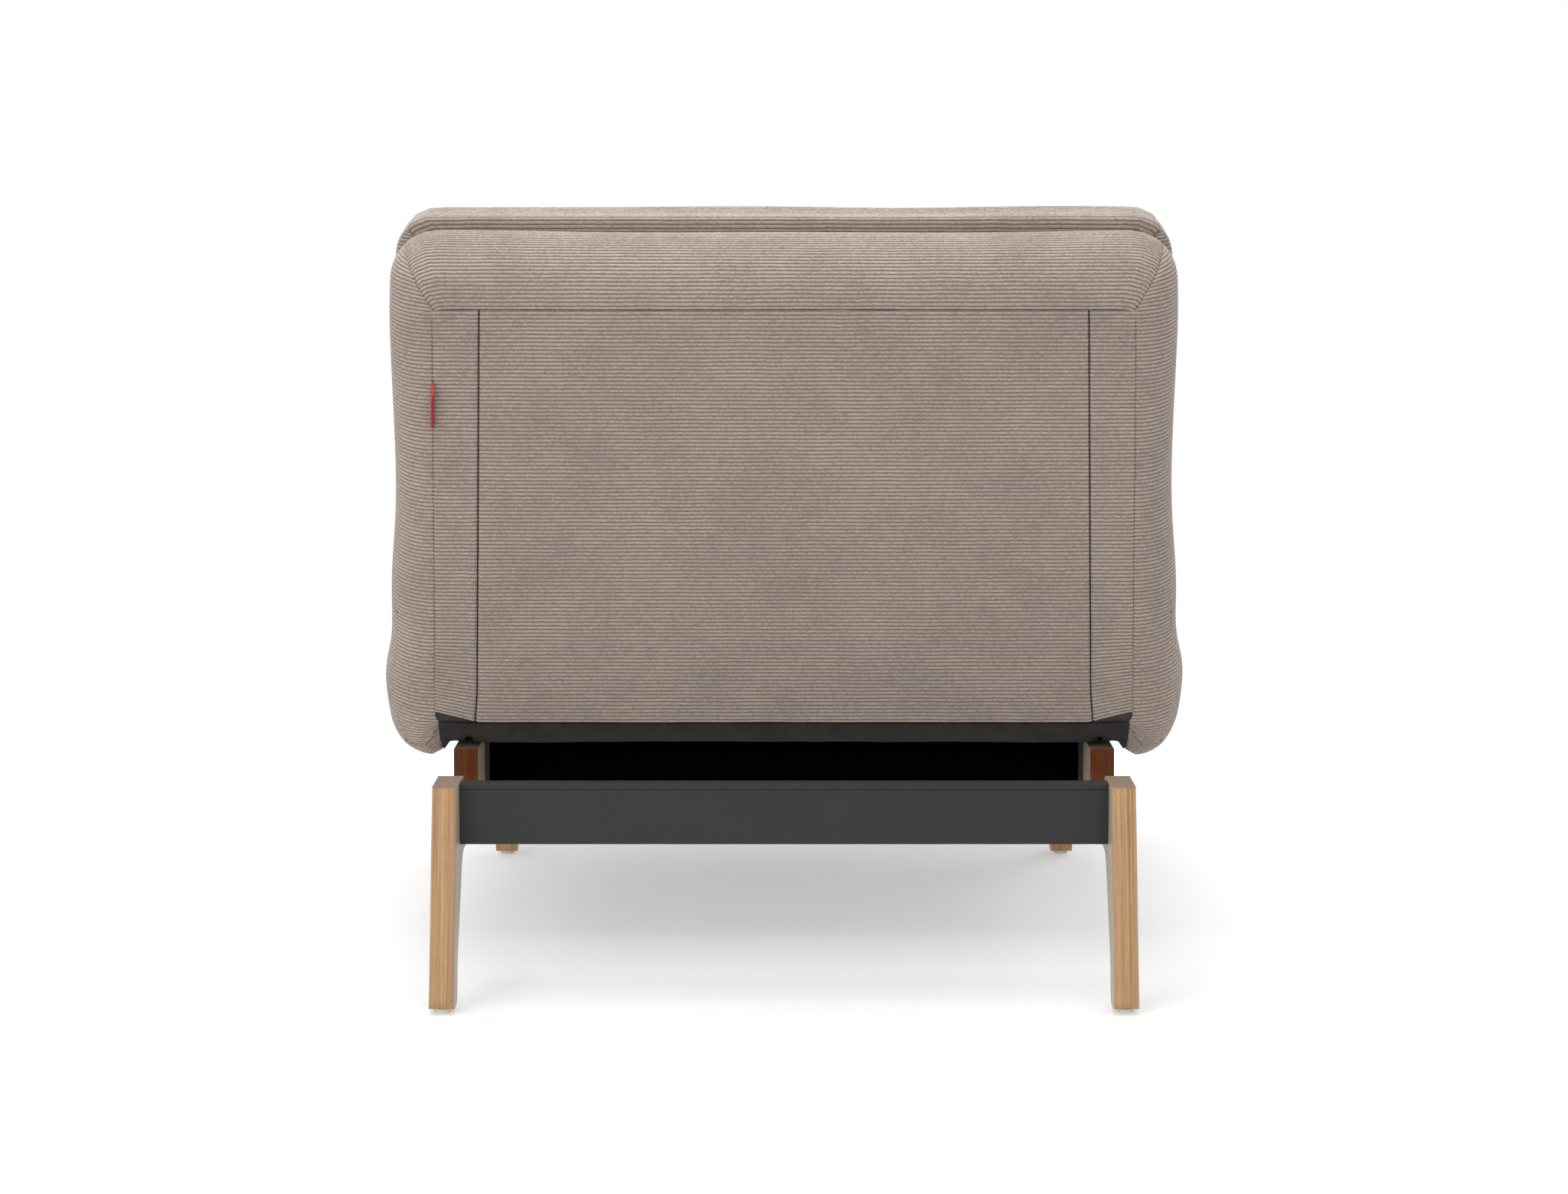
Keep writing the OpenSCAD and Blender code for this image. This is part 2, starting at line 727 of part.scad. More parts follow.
// The black lining that closes the backrest's bottom behind the seat
module back_lining() {
  inner_r = rear_sweep_r + soft_gap;
  outer_r = inner_r + 1.2;
  half = back_half - border_side;
  band = concat(
    [for (a = [198:6:270]) inner_r * [cos(a), sin(a)]],
    [for (a = [270:-6:198]) outer_r * [cos(a), sin(a)]]
  );
  color([0.1, 0.1, 0.1]) on_back() difference() {
    back_slab(band, -half, half);
    hinge_room();
  }
}

// A bare folded ribbon in the left outer seam
module label_tab() {
  seam_x = back_half - border_side + seam_taper * (0.5 - tab_w / panel_top) - tab_t;
  root_n = -pivot_n - soft_gap;
  fold = [
    [root_n, 0], [root_n - tab_out + 1, 0], [root_n - tab_out, tab_t * 0.3],
    [root_n - tab_out, tab_t * 0.7], [root_n - tab_out + 1, tab_t], [root_n, tab_t],
    [root_n, tab_t * 0.64], [root_n - tab_out + 2, tab_t * 0.64],
    [root_n - tab_out + 2, tab_t * 0.36], [root_n, tab_t * 0.36]
  ];
  color([0.7, 0.1, 0.1]) on_back() translate([seam_x, 0, tab_w - tab_h / 2])
    linear_extrude(tab_h) polygon([for (p = fold) [p.y, -p.x]]);
}

// Backrest frame
back_slat_n = back_tube_n + (back_tube_d - slat_t) / 2 - slat_camber / 2;
function back_slat_w(i) =
  let (last = back_tube_high - back_tube_d - slat_w - 8)
  back_slat_low + (last - back_slat_low) * i / (back_slats_n - 1);

module back_side_tubes() {
  color([0.2, 0.2, 0.2]) on_back() both_sides() difference() {
    back_block(back_tube_x, back_tube_x + back_tube_w, back_tube_n, back_tube_n + back_tube_d,
      back_tube_low, back_tube_high);
    back_block(back_tube_x + tube_wall, back_tube_x + back_tube_w - tube_wall,
      back_tube_n + tube_wall, back_tube_n + back_tube_d - tube_wall,
      back_tube_low - 1, back_tube_high + 1);
    for (w = arm_bolt_w) back_rod(back_tube_n + back_tube_d / 2, w, bolt_r + hole_gap,
      back_tube_x - 1, back_tube_x + back_tube_w + 1);
  }
}
module back_cross_tube(w) {
  difference() {
    back_block(-back_tube_x, back_tube_x, back_tube_n, back_tube_n + back_tube_d,
      w, w + back_tube_d);
    back_block(-back_tube_x - 1, back_tube_x + 1, back_tube_n + tube_wall,
      back_tube_n + back_tube_d - tube_wall, w + tube_wall, w + back_tube_d - tube_wall);
  }
}
module back_cross_tubes() {
  color([0.2, 0.2, 0.2]) on_back() {
    back_cross_tube(cross_low_w);
    back_cross_tube(back_tube_high - back_tube_d);
  }
}
module back_slats() {
  color([0.85, 0.74, 0.56]) on_back() for (i = [0:back_slats_n - 1])
    translate([0, 0, back_slat_w(i)]) linear_extrude(slat_w)
      mirror([0, 1]) polygon(slat_outline(back_slat_half, back_slat_n));
}
module back_slat_holders() {
  color([0.12, 0.12, 0.12]) on_back() both_sides() for (i = [0:back_slats_n - 1])
    rotate([90, 0, 0]) slat_cap(back_tube_x, -back_slat_w(i) - slat_w, back_slat_n);
}

// Ratchet hinges. The bracket stays with the seat, the arm turns with the backrest.
function notch(angle) = [
  (wheel_r + 2) * [cos(angle - 15), sin(angle - 15)],
  (wheel_r - notch_depth) * [cos(angle + 1), sin(angle + 1)],
  (wheel_r + 2) * [cos(angle + 3), sin(angle + 3)]
];
module hinge_bracket() {
  first_angle = back_lean + pawl_tip_angle;
  foot_rear_u = seat_tube_rear_u;
  foot_front_u = bracket_u[1] + 18;
  foot_low_z = frame_top_z + plate_gap;
  mid_z = frame_top_z + seat_tube_h / 2;
  neck = [
    [foot_rear_u, foot_low_z], [foot_front_u - 6, foot_low_z], [foot_front_u, foot_low_z + 6],
    [foot_front_u, seat_tube_top_z - 4], [foot_front_u - 4, seat_tube_top_z],
    [foot_rear_u, seat_tube_top_z], [pivot_u + 22, pivot_z + 24], [pivot_u, pivot_z],
    [pivot_u + 6, pivot_z - 30]
  ];
  color([0.3, 0.3, 0.31]) difference() {
    union() {
      rod(pivot_u, pivot_z, wheel_r, bracket_x, bracket_x + hinge_gauge);
      slab(neck, bracket_x, bracket_x + hinge_gauge);
    }
    rod(pivot_u, pivot_z, pin_r + run_gap, bracket_x - 1, bracket_x + hinge_gauge + 1);
    for (i = [0:notches_n - 1])
      slab([for (p = notch(first_angle + i * notch_step)) [pivot_u + p.x, pivot_z + p.y]],
        bracket_x - 1, bracket_x + hinge_gauge + 1);
    for (u = bracket_u) rod(u, mid_z, bolt_r + hole_gap, bracket_x - 1, arm_x + 1);
  }
}
module hinge_bracket_left() {
  hinge_bracket();
}
module hinge_bracket_right() {
  mirror([1, 0, 0]) hinge_bracket();
}
module bracket_bolts() {
  mid_z = frame_top_z + seat_tube_h / 2;
  color([0.35, 0.35, 0.36]) both_sides() for (u = bracket_u) {
    rod(u, mid_z, bolt_r, bracket_x - bolt_grip + 1, bracket_x + hinge_gauge);
    rod(u, mid_z, head_r, bracket_x + hinge_gauge, bracket_x + hinge_gauge + head_t);
  }
}

module hinge_arm() {
  outline = rounded([
    [-arm_half * 0.6, -14, 10, 5], [arm_half * 0.6, -14, 10, 5], [arm_half, 10, 14, 4],
    [pawl_n + 9, pawl_w - 12, 8, 4], [pawl_n + 9, pawl_w + 9, 8, 4],
    [arm_half, pawl_w + 20, 8, 4], [arm_half - 4, arm_top, 8, 4],
    [-arm_half + 4, arm_top, 8, 4], [-arm_half, 10, 14, 4]
  ]);
  bolt_n = back_tube_n + back_tube_d / 2;
  color([0.3, 0.3, 0.31]) on_back() difference() {
    back_slab(outline, arm_x, arm_x + hinge_gauge);
    back_rod(0, 0, pin_r + 0.02, arm_x - 1, arm_x + hinge_gauge + 1);
    back_rod(pawl_n, pawl_w, pawl_pin_r + 0.02, arm_x - 1, arm_x + hinge_gauge + 1);
    for (w = arm_bolt_w)
      back_rod(bolt_n, w, bolt_r + hole_gap, arm_x - 1, arm_x + hinge_gauge + 1);
  }
}
module hinge_arm_left() {
  hinge_arm();
}
module hinge_arm_right() {
  mirror([1, 0, 0]) hinge_arm();
}
module hinge_pins() {
  far_x = arm_x + hinge_gauge;
  color([0.6, 0.6, 0.62]) on_back() both_sides() {
    back_rod(0, 0, pin_r, bracket_x - plate_gap - pin_head_t, far_x);
    back_rod(0, 0, pin_r + 3.5, bracket_x - plate_gap - pin_head_t, bracket_x - plate_gap);
    back_rod(0, 0, pin_r + 3, far_x, far_x + pin_head_t - 1);
  }
}
module arm_bolts() {
  bolt_n = back_tube_n + back_tube_d / 2;
  far_x = back_tube_x + back_tube_w;
  color([0.35, 0.35, 0.36]) on_back() both_sides() for (w = arm_bolt_w) {
    back_rod(bolt_n, w, bolt_r, arm_x, far_x - tube_wall - 1);
    back_rod(bolt_n, w, head_r, arm_x - head_t, arm_x);
  }
}
module pawl_pins() {
  color([0.6, 0.6, 0.62]) on_back() both_sides() {
    back_rod(pawl_n, pawl_w, pawl_pin_r, bracket_x - 2, arm_x + hinge_gauge);
    back_rod(pawl_n, pawl_w, pawl_pin_r + 2, bracket_x - 4, bracket_x - plate_gap);
  }
}
module pawl() {
  tip = (wheel_r + pawl_tip_r + pawl_rest_gap) * [cos(pawl_tip_angle), sin(pawl_tip_angle)];
  color([0.45, 0.45, 0.47]) on_back() difference() {
    hull() {
      back_rod(pawl_n, pawl_w, pawl_boss_r, bracket_x, bracket_x + hinge_gauge);
      back_rod(tip.x, tip.y, pawl_tip_r, bracket_x, bracket_x + hinge_gauge);
    }
    back_rod(pawl_n, pawl_w, pawl_pin_r + run_gap, bracket_x - 1, arm_x + 1);
  }
}
module pawl_left() {
  pawl();
}
module pawl_right() {
  mirror([1, 0, 0]) pawl();
}

side_frame_left();
side_frame_right();
rear_rail();
mid_rail();
front_rail();
side_plate_left();
side_plate_right();
floor_glides();
frame_bolts();
seat_side_tubes();
seat_cross_tubes();
seat_slats();
seat_slat_holders();
seat_lining();
seat_core();
seat_cover();
hinge_bracket_left();
hinge_bracket_right();
bracket_bolts();
back_side_tubes();
back_cross_tubes();
back_slats();
back_slat_holders();
back_core();
back_casing();
back_lining();
pad_core();
pad_cover();
label_tab();
hinge_arm_left();
hinge_arm_right();
hinge_pins();
arm_bolts();
pawl_pins();
pawl_left();
pawl_right();
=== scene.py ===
"""Dresses the reclining armchair: ribbed cloth, oak, powder-coated steel, black lining.

The forms are worked out in millimetres and placed in metres. On the backrest, n is the
distance in front of the hinge axis and w the distance above it, along the rear panel.
"""

import math
from collections import namedtuple

import bmesh
import bpy
import numpy as np
from bpy.props import FloatProperty, FloatVectorProperty, IntProperty, PointerProperty
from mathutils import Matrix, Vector


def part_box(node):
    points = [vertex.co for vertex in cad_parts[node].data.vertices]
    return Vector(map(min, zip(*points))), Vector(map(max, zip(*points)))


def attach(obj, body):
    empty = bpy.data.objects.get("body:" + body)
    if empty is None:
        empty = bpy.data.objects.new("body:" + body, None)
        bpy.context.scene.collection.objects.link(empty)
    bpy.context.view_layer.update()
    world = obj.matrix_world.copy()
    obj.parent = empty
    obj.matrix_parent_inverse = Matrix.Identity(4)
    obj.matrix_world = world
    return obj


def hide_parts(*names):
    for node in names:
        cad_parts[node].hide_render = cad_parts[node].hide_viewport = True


bl_info = {
    "name": "Reclining armchair",
    "version": (1, 0, 0),
    "blender": (4, 5, 0),
    "location": "3D View > Sidebar > Armchair",
    "description": "Dresses a reclining armchair in ribbed cloth, oak and steel",
    "category": "Object",
}

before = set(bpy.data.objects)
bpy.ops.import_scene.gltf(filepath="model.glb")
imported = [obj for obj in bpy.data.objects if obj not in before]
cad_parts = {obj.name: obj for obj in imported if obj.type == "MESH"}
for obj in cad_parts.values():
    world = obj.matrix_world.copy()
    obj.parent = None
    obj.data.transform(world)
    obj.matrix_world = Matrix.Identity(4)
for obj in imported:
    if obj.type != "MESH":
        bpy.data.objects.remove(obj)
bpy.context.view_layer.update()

# Sizes are in millimetres, and u is how far a place lies in front of the chair's rear side
MM = 0.001
REAR_Y = 476.253

# The hinge axis, and how far the backrest leans back at rest
PIVOT_U = 311.6
PIVOT_Z = 301.0
LEAN = math.radians(12)

# The backrest: its half width, the height of its middle, and the rounding of its underside
# behind and in front of the axis
HALF = 450.0
MIDDLE_W = 240.0
SWEEP_R = 57.5
SWEEP_SLOPE = 0.15
FRONT_SWEEP_R = 111.0

# The rear panel: its hem, its top seam, and its outer seams, which run together upwards
PANEL_LOW = -16.8
PANEL_TOP = 479.0
SEAM_X = 398.5
SEAM_TAPER = 13.0

# The pad on the front of the casing
PAD_REAR = 35.3
PAD_TOP = 564.0
PAD_BULGE = 18.0

# The seat cushion
SEAT_Z = 260.3
SEAT_H = 148.0
SEAT_REAR_U = 426.0
SEAT_FRONT_U = 950.0


# Settings


class ClothSettings(bpy.types.PropertyGroup):
    """The ribbed upholstery cloth."""

    rib_pitch: FloatProperty(
        name="Rib pitch", description="Distance from one rib to the next",
        default=0.0045, min=0.002, max=0.01, subtype="DISTANCE", precision=4,
    )
    rib_depth: FloatProperty(
        name="Rib depth", description="Depth of the groove between two ribs",
        default=0.0009, min=0.0, max=0.003, subtype="DISTANCE", precision=4,
    )
    seam_depth: FloatProperty(
        name="Seam depth", description="How far a sewn edge turns in",
        default=0.0028, min=0.0, max=0.006, subtype="DISTANCE", precision=4,
    )
    thickness: FloatProperty(
        name="Cloth thickness", description="Thickness of the cloth with its backing",
        default=0.0011, min=0.0005, max=0.003, subtype="DISTANCE", precision=4,
    )
    pile: FloatVectorProperty(
        name="Pile", description="Colour of the pile on top of a rib",
        default=(0.357, 0.294, 0.252), size=3, subtype="COLOR", min=0.0, max=1.0,
    )
    # The groove colour stands partly for the cloth's thinner ground between the ribs and partly for
    # painted shade in that recess
    groove: FloatVectorProperty(
        name="Groove", description="Colour of the ground between two ribs",
        default=(0.066, 0.048, 0.038), size=3, subtype="COLOR", min=0.0, max=1.0,
    )


class WoodSettings(bpy.types.PropertyGroup):
    """The oak of the side frames."""

    light: FloatVectorProperty(
        name="Light grain", description="Colour of the light grain",
        default=(0.50, 0.312, 0.160), size=3, subtype="COLOR", min=0.0, max=1.0,
    )
    dark: FloatVectorProperty(
        name="Dark grain", description="Colour of the dark grain",
        default=(0.25, 0.125, 0.048), size=3, subtype="COLOR", min=0.0, max=1.0,
    )
    edge: FloatVectorProperty(
        name="Lamination edge", description="Colour of the laminations' sanded edges",
        default=(0.44, 0.36, 0.275), size=3, subtype="COLOR", min=0.0, max=1.0,
    )
    edge_round: FloatProperty(
        name="Edge rounding", description="Width of the sanded edges",
        default=0.0028, min=0.0, max=0.004, subtype="DISTANCE", precision=4,
    )


class SteelSettings(bpy.types.PropertyGroup):
    """The powder-coated steel."""

    coat: FloatVectorProperty(
        name="Powder coat", description="Colour of the powder coat",
        default=(0.0148, 0.0148, 0.0152), size=3, subtype="COLOR", min=0.0, max=1.0,
    )
    edge_round: FloatProperty(
        name="Edge rounding", description="Width of the coated edges",
        default=0.0006, min=0.0, max=0.003, subtype="DISTANCE", precision=4,
    )


class StitchSettings(bpy.types.PropertyGroup):
    """The visible stitching."""

    length: FloatProperty(
        name="Stitch length", description="Length of one stitch",
        default=0.005, min=0.002, max=0.012, subtype="DISTANCE", precision=4,
    )
    gap: FloatProperty(
        name="Stitch gap", description="Distance between two stitches",
        default=0.0025, min=0.0005, max=0.01, subtype="DISTANCE", precision=4,
    )
    radius: FloatProperty(
        name="Thread radius", description="Radius of the thread",
        default=0.00045, min=0.0001, max=0.002, subtype="DISTANCE", precision=5,
    )


class StudioSettings(bpy.types.PropertyGroup):
    """The plain studio round the chair."""

    sky: FloatProperty(
        name="Sky strength", description="Strength of the even light from all round",
        default=0.86, min=0.0, max=3.0,
    )
    key: FloatProperty(
        name="Overhead lamp", description="Power of the large lamp overhead",
        default=76.0, min=0.0, max=500.0, unit="POWER",
    )
    side_key: FloatProperty(
        name="Side lamp", description="Power of the lamp behind the chair, to its left",
        default=34.0, min=0.0, max=500.0, unit="POWER",
    )
    lens: FloatProperty(
        name="Lens", description="Focal length of the camera",
        default=67.2, min=20.0, max=200.0, unit="CAMERA",
    )
    seed: IntProperty(
        name="Seed", description="Seed of the cloth's small unevenness", default=4, min=0,
    )


# Node trees


class Value:
    """A node's output that can be used as a number in an expression."""

    def __init__(self, tree, socket):
        self.tree = tree
        self.socket = socket

    def math(self, operation, *terms):
        inputs = {index: term for index, term in enumerate(terms)}
        return self.tree.node("ShaderNodeMath", {"operation": operation}, inputs)[0]

    def __add__(self, other):
        return self.math("ADD", self, other)

    def __radd__(self, other):
        return self.math("ADD", other, self)

    def __sub__(self, other):
        return self.math("SUBTRACT", self, other)

    def __rsub__(self, other):
        return self.math("SUBTRACT", other, self)

    def __mul__(self, other):
        return self.math("MULTIPLY", self, other)

    def __rmul__(self, other):
        return self.math("MULTIPLY", other, self)

    def __truediv__(self, other):
        return self.math("DIVIDE", self, other)

    def __pow__(self, other):
        return self.math("POWER", self, other)

    def absolute(self):
        return self.math("ABSOLUTE", self)

    def fraction(self):
        return self.math("FRACT", self)

    def minimum(self, other):
        return self.math("MINIMUM", self, other)

    def maximum(self, other):
        return self.math("MAXIMUM", self, other)

    def smooth_maximum(self, other, reach):
        return self.math("SMOOTH_MAX", self, other, reach)

    def ramp(self, low, high, from_value=0.0, to_value=1.0):
        """Goes smoothly from from_value at low to to_value at high."""
        return self.tree.node(
            "ShaderNodeMapRange", {"interpolation_type": "SMOOTHSTEP"},
            {0: self, 1: low, 2: high, 3: from_value, 4: to_value},
        )[0]


class Made:
    """A node that was made, whose outputs are read by name or number."""

    def __init__(self, tree, made):
        self.tree = tree
        self.made = made

    def __getitem__(self, key):
        return Value(self.tree, self.made.outputs[key])


class Tree:
    """A node tree in which one method makes every node."""

    def __init__(self, nodes, links):
        self.nodes = nodes
        self.links = links

    def node(self, kind, settings=None, inputs=None):
        made = self.nodes.new(kind)
        for name, value in (settings or {}).items():
            setattr(made, name, value)
        for key, value in (inputs or {}).items():
            if isinstance(value, Value):
                self.links.new(value.socket, made.inputs[key])
            else:
                made.inputs[key].default_value = value
        return Made(self, made)

    def mix(self, factor, first, second, blend="MIX"):
        """A blend of two colours."""
        return self.node(
            "ShaderNodeMix", {"data_type": "RGBA", "blend_type": blend},
            {0: factor, 6: first, 7: second},
        )[2]

    def vector(self, x, y, z):
        return self.node("ShaderNodeCombineXYZ", None, {0: x, 1: y, 2: z})[0]

    def noise(self, vector, scale, detail=2.0, roughness=0.5):
        return self.node(
            "ShaderNodeTexNoise", None,
            {"Vector": vector, "Scale": scale, "Detail": detail, "Roughness": roughness},
        )["Fac"]


def colour(values, factor=1.0):
    """A colour as a socket takes it, made darker or lighter by a factor."""
    return (*(min(1.0, value * factor) for value in values), 1.0)


def new_material(name):
    """An empty material, its tree and a function that finishes it."""
    material = bpy.data.materials.new(name)
    material.use_nodes = True
    material.node_tree.nodes.clear()
    tree = Tree(material.node_tree.nodes, material.node_tree.links)

    def finish(inputs, height=None, strength=1.0):
        if height is not None:
            bump = tree.node(
                "ShaderNodeBump", None, {"Strength": strength, "Distance": 1.0, "Height": height}
            )
            inputs["Normal"] = bump["Normal"]
        surface = tree.node("ShaderNodeBsdfPrincipled", None, inputs)
        tree.node("ShaderNodeOutputMaterial", None, {"Surface": surface["BSDF"]})
        return material

    return tree, finish


def object_place(tree):
    """The object coordinates, whole and as x, y and z."""
    place = tree.node("ShaderNodeTexCoord")["Object"]
    parts = tree.node("ShaderNodeSeparateXYZ", None, {0: place})
    return place, parts[0], parts[1], parts[2]


def corduroy(cloth):
    """Ribbed cloth with grooves darkened partly by painted shade, a brushed nap and short fibres."""
    tree, finish = new_material("ribbed_cloth")
    uv = tree.node("ShaderNodeUVMap", {"uv_map": "cloth"})["UV"]
    parts = tree.node("ShaderNodeSeparateXYZ", None, {0: uv})
    along, across = parts[0], parts[1]
    place = object_place(tree)[0]
    sway = tree.noise(place, 230.0, 2.0) - 0.5
    tuft = tree.noise(tree.vector(along * 330.0, across * 520.0, 0.5), 1.0, 2.0, 0.6)
    part = (across / cloth.rib_pitch + sway * 0.28 + (tuft - 0.5) * 0.18).fraction()
    to_groove = part.minimum(1.0 - part)
    groove = to_groove.ramp(0.04, 0.26, 1.0, 0.0)
    crest = to_groove.ramp(0.15, 0.5)
    nap = tree.noise(place, 17.0, 4.0, 0.6)
    broad = tree.noise(place, 5.0, 2.0)
    fibre = tree.noise(tree.vector(along * 900.0, across * 1700.0, 0.0), 1.0, 2.0, 0.7)
    # The crest term lightens the ribs' tops a little: a painted highlight
    shade = (
        0.5 + (nap - 0.5) * 0.85 + (broad - 0.5) * 0.25 + (fibre - 0.5) * 3.0
        + (tuft - 0.5) * 2.0 + crest * 0.14
    )
    pile = tree.mix(shade.ramp(0.1, 0.95), colour(cloth.pile, 0.7), colour(cloth.pile, 1.22))
    # Painted shade in the grooves, over the cloth's thinner ground: they are darkened unevenly towards
    # the groove colour
    groove_shade = groove * (0.55 + (tuft - 0.5) * 1.0 + (fibre - 0.5) * 0.8 + (nap - 0.5) * 0.5)
    base = tree.mix(groove_shade, pile, colour(cloth.groove))
    height = groove * -0.0004 + fibre * 0.00045 + tuft * 0.0004 + nap * 0.0004
    return finish(
        {
            "Base Color": base,
            "Roughness": 0.94 - crest * 0.08,
            "Specular IOR Level": 0.18,
            "Sheen Weight": 0.22,
            "Sheen Roughness": 0.45,
        },
        height, 0.8,
    )


# A side frame in metres, in u and z: the inner and the outer face of each leg, as a point and a
# direction, then the beam, the middle of the frame's width and the flat top of the rear leg
REAR_LEG_FACES = ((0.0465, 0.052), (0.058, 0.106)), ((0.0, 0.005), (0.053, 0.235))
FRONT_LEG_FACES = ((0.712, 0.158), (0.035, -0.106)), ((0.777, 0.24), (0.017, -0.235))
BEAM_LOW = 0.158
BEAM_DEPTH = 0.082
LAYER_BLEND = 0.5
FRAME_X = 0.372
LEG_TOP = 0.239

# How the curved faces are worn: how far from the middle their edges begin to fall away, how
# sharply they do, and how much the whole face is crowned
EDGE_FROM = 0.0115
EDGE_FALL = 55.0
FACE_CROWN = 13.0

# Where the shade painted on the saddle's rear face begins and ends, in u
SHADE_BEGINS = (0.2, 0.25)
SHADE_ENDS = (0.29, 0.3)

# The frame's veneers, and how strongly the glue between them and the pores show
VENEERS = 24.0
GLUE_SHOWN = 0.55
PORE_SHOWN = 0.35
END_GRAIN_PALE = (0.262, 0.204, 0.150)
END_GRAIN_DARK = (0.185, 0.143, 0.104)
# The colour multiplied into the saddle's rear face: painted shade for the dark under the backrest
SADDLE_PAINTED_SHADE = (0.23, 0.085, 0.004)


def leg_layers(u, z, inner, outer):
    """How deep in a leg's laminations a place lies, from 0 at its inner face to 1 outside."""
    (inner_u, inner_z), (inner_du, inner_dz) = inner
    (outer_u, outer_z), (outer_du, outer_dz) = outer
    inside = ((u - inner_u) * -inner_dz + (z - inner_z) * inner_du) / math.hypot(inner_du, inner_dz)
    outside = ((u - outer_u) * outer_dz - (z - outer_z) * outer_du) / math.hypot(outer_du, outer_dz)
    return inside / (inside + outside)


def oak(wood):
    """Bent oak: long grain on the curved faces, pale lamination edges on the flat sides."""
    tree, finish = new_material("bent_oak")
    x, y, z = object_place(tree)[1:]
    u = REAR_Y * MM - y
    rear = leg_layers(u, z, *REAR_LEG_FACES)
    front = leg_layers(u, z, *FRONT_LEG_FACES)
    beam = (z - BEAM_LOW) / BEAM_DEPTH
    layer = rear.smooth_maximum(beam, LAYER_BLEND).smooth_maximum(front, LAYER_BLEND)
    fine = tree.noise(tree.vector(x * 1100.0, u * 9.0, z * 9.0), 1.0, 3.0, 0.65)
    streak = tree.noise(tree.vector(x * 330.0, u * 2.5, z * 2.5), 1.0, 2.0)
    broad = tree.noise(tree.vector(x * 70.0, u * 1.5, z * 1.5), 1.0, 2.0)
    pores = tree.noise(tree.vector(x * 2600.0, u * 60.0, z * 60.0), 1.0, 1.0)
    pore = pores.ramp(0.6, 0.72)
    shade = 0.42 + (fine - 0.5) * 1.1 + (streak - 0.5) * 1.2 + (broad - 0.5) * 0.7
    base = tree.mix(shade.ramp(0.05, 1.0), colour(wood.light), colour(wood.dark))
    base = tree.mix(pore * PORE_SHOWN, base, colour(wood.dark, 0.6))
    facing = tree.node("ShaderNodeNewGeometry")["Normal"]
    parts = tree.node("ShaderNodeSeparateXYZ", None, {0: facing})
    side = parts[0] * parts[0]
    veneer = (layer * VENEERS).fraction()
    glue = veneer.ramp(0.8, 0.97) * veneer.ramp(0.97, 1.0, 1.0, 0.0)
    ply = tree.noise(tree.vector(layer * 60.0, u * 6.0, z * 6.0), 1.0, 2.0)
    edge = tree.mix(
        (glue * GLUE_SHOWN + (ply - 0.5) * 1.3 + 0.35).ramp(0.0, 1.0),
        colour(wood.edge), colour(wood.edge, 0.6),
    )
    base = tree.mix(side.ramp(0.55, 0.9), base, edge)
    cut = parts[2].ramp(0.93, 0.985) * z.ramp(LEG_TOP - 0.003, LEG_TOP)
    speckle = tree.noise(tree.vector(x * 420.0, y * 1900.0, 0.0), 1.0, 2.0, 0.7)
    top = tree.mix(speckle.ramp(0.3, 0.75), colour(END_GRAIN_PALE), colour(END_GRAIN_DARK))
    base = tree.mix(cut * 0.9, base, top)
    # Painted shade: the saddle's rear-facing face, in the dark under the backrest, is darkened and
    # loses its coat
    shaded = u.ramp(*SHADE_BEGINS) * u.ramp(*SHADE_ENDS, 1.0, 0.0) * parts[1].ramp(0.2, 0.7)
    base = tree.mix(shaded, base, colour(SADDLE_PAINTED_SHADE), "MULTIPLY")
    off = (x.absolute() - FRAME_X).absolute()
    rim = (off - EDGE_FROM).maximum(0.0)
    worn = (rim * rim * -EDGE_FALL + off * off * -FACE_CROWN) * (1 - cut)
    height = fine * -0.00012 + pore * -0.00018 + speckle * cut * 0.0002 + worn
    return finish(
        {
            "Base Color": base,
            "Roughness": 0.4 + (fine - 0.5) * 0.2 + pore * 0.2 + cut * 0.25,
            "Coat Weight": 0.2 - shaded * 0.2,
            "Specular IOR Level": 0.2,
            "Coat Roughness": 0.28,
        },
        height, 0.6,
    )


BIRCH_PALE = (0.78, 0.62, 0.40)
BIRCH_DARK = (0.60, 0.42, 0.23)


def birch():
    """Plain laminated slats."""
    tree, finish = new_material("slat_birch")
    x, y, z = object_place(tree)[1:]
    grain = tree.noise(tree.vector(x * 5.0, y * 300.0, z * 300.0), 1.0, 3.0, 0.6)
    broad = tree.noise(tree.vector(x * 2.0, y * 40.0, z * 40.0), 1.0, 2.0)
    shade = 0.5 + (grain - 0.5) * 0.9 + (broad - 0.5) * 0.6
    base = tree.mix(shade.ramp(0.1, 0.9), colour(BIRCH_PALE), colour(BIRCH_DARK))
    return finish({"Base Color": base, "Roughness": 0.5 + grain * 0.15}, grain * 0.0001, 0.6)


def powder_coat(name, tone, rough, shine):
    """Satin powder coat with a fine texture."""
    tree, finish = new_material(name)
    place = object_place(tree)[0]
    peel = tree.noise(place, 1500.0, 2.0, 0.6)
    cloud = tree.noise(place, 14.0, 3.0)
    shade = 0.5 + (peel - 0.5) * 0.5 + (cloud - 0.5) * 0.6
    base = tree.mix(shade.ramp(0.1, 0.9), colour(tone, 0.88), colour(tone, 1.14))
    roughness = rough + (peel - 0.5) * 0.12 + (cloud - 0.5) * 0.06
    return finish(
        {"Base Color": base, "Roughness": roughness, "Specular IOR Level": shine},
        peel * 0.00009, 0.5,
    )


ZINC_DULL = (0.52, 0.52, 0.53)
ZINC_BRIGHT = (0.66, 0.66, 0.66)


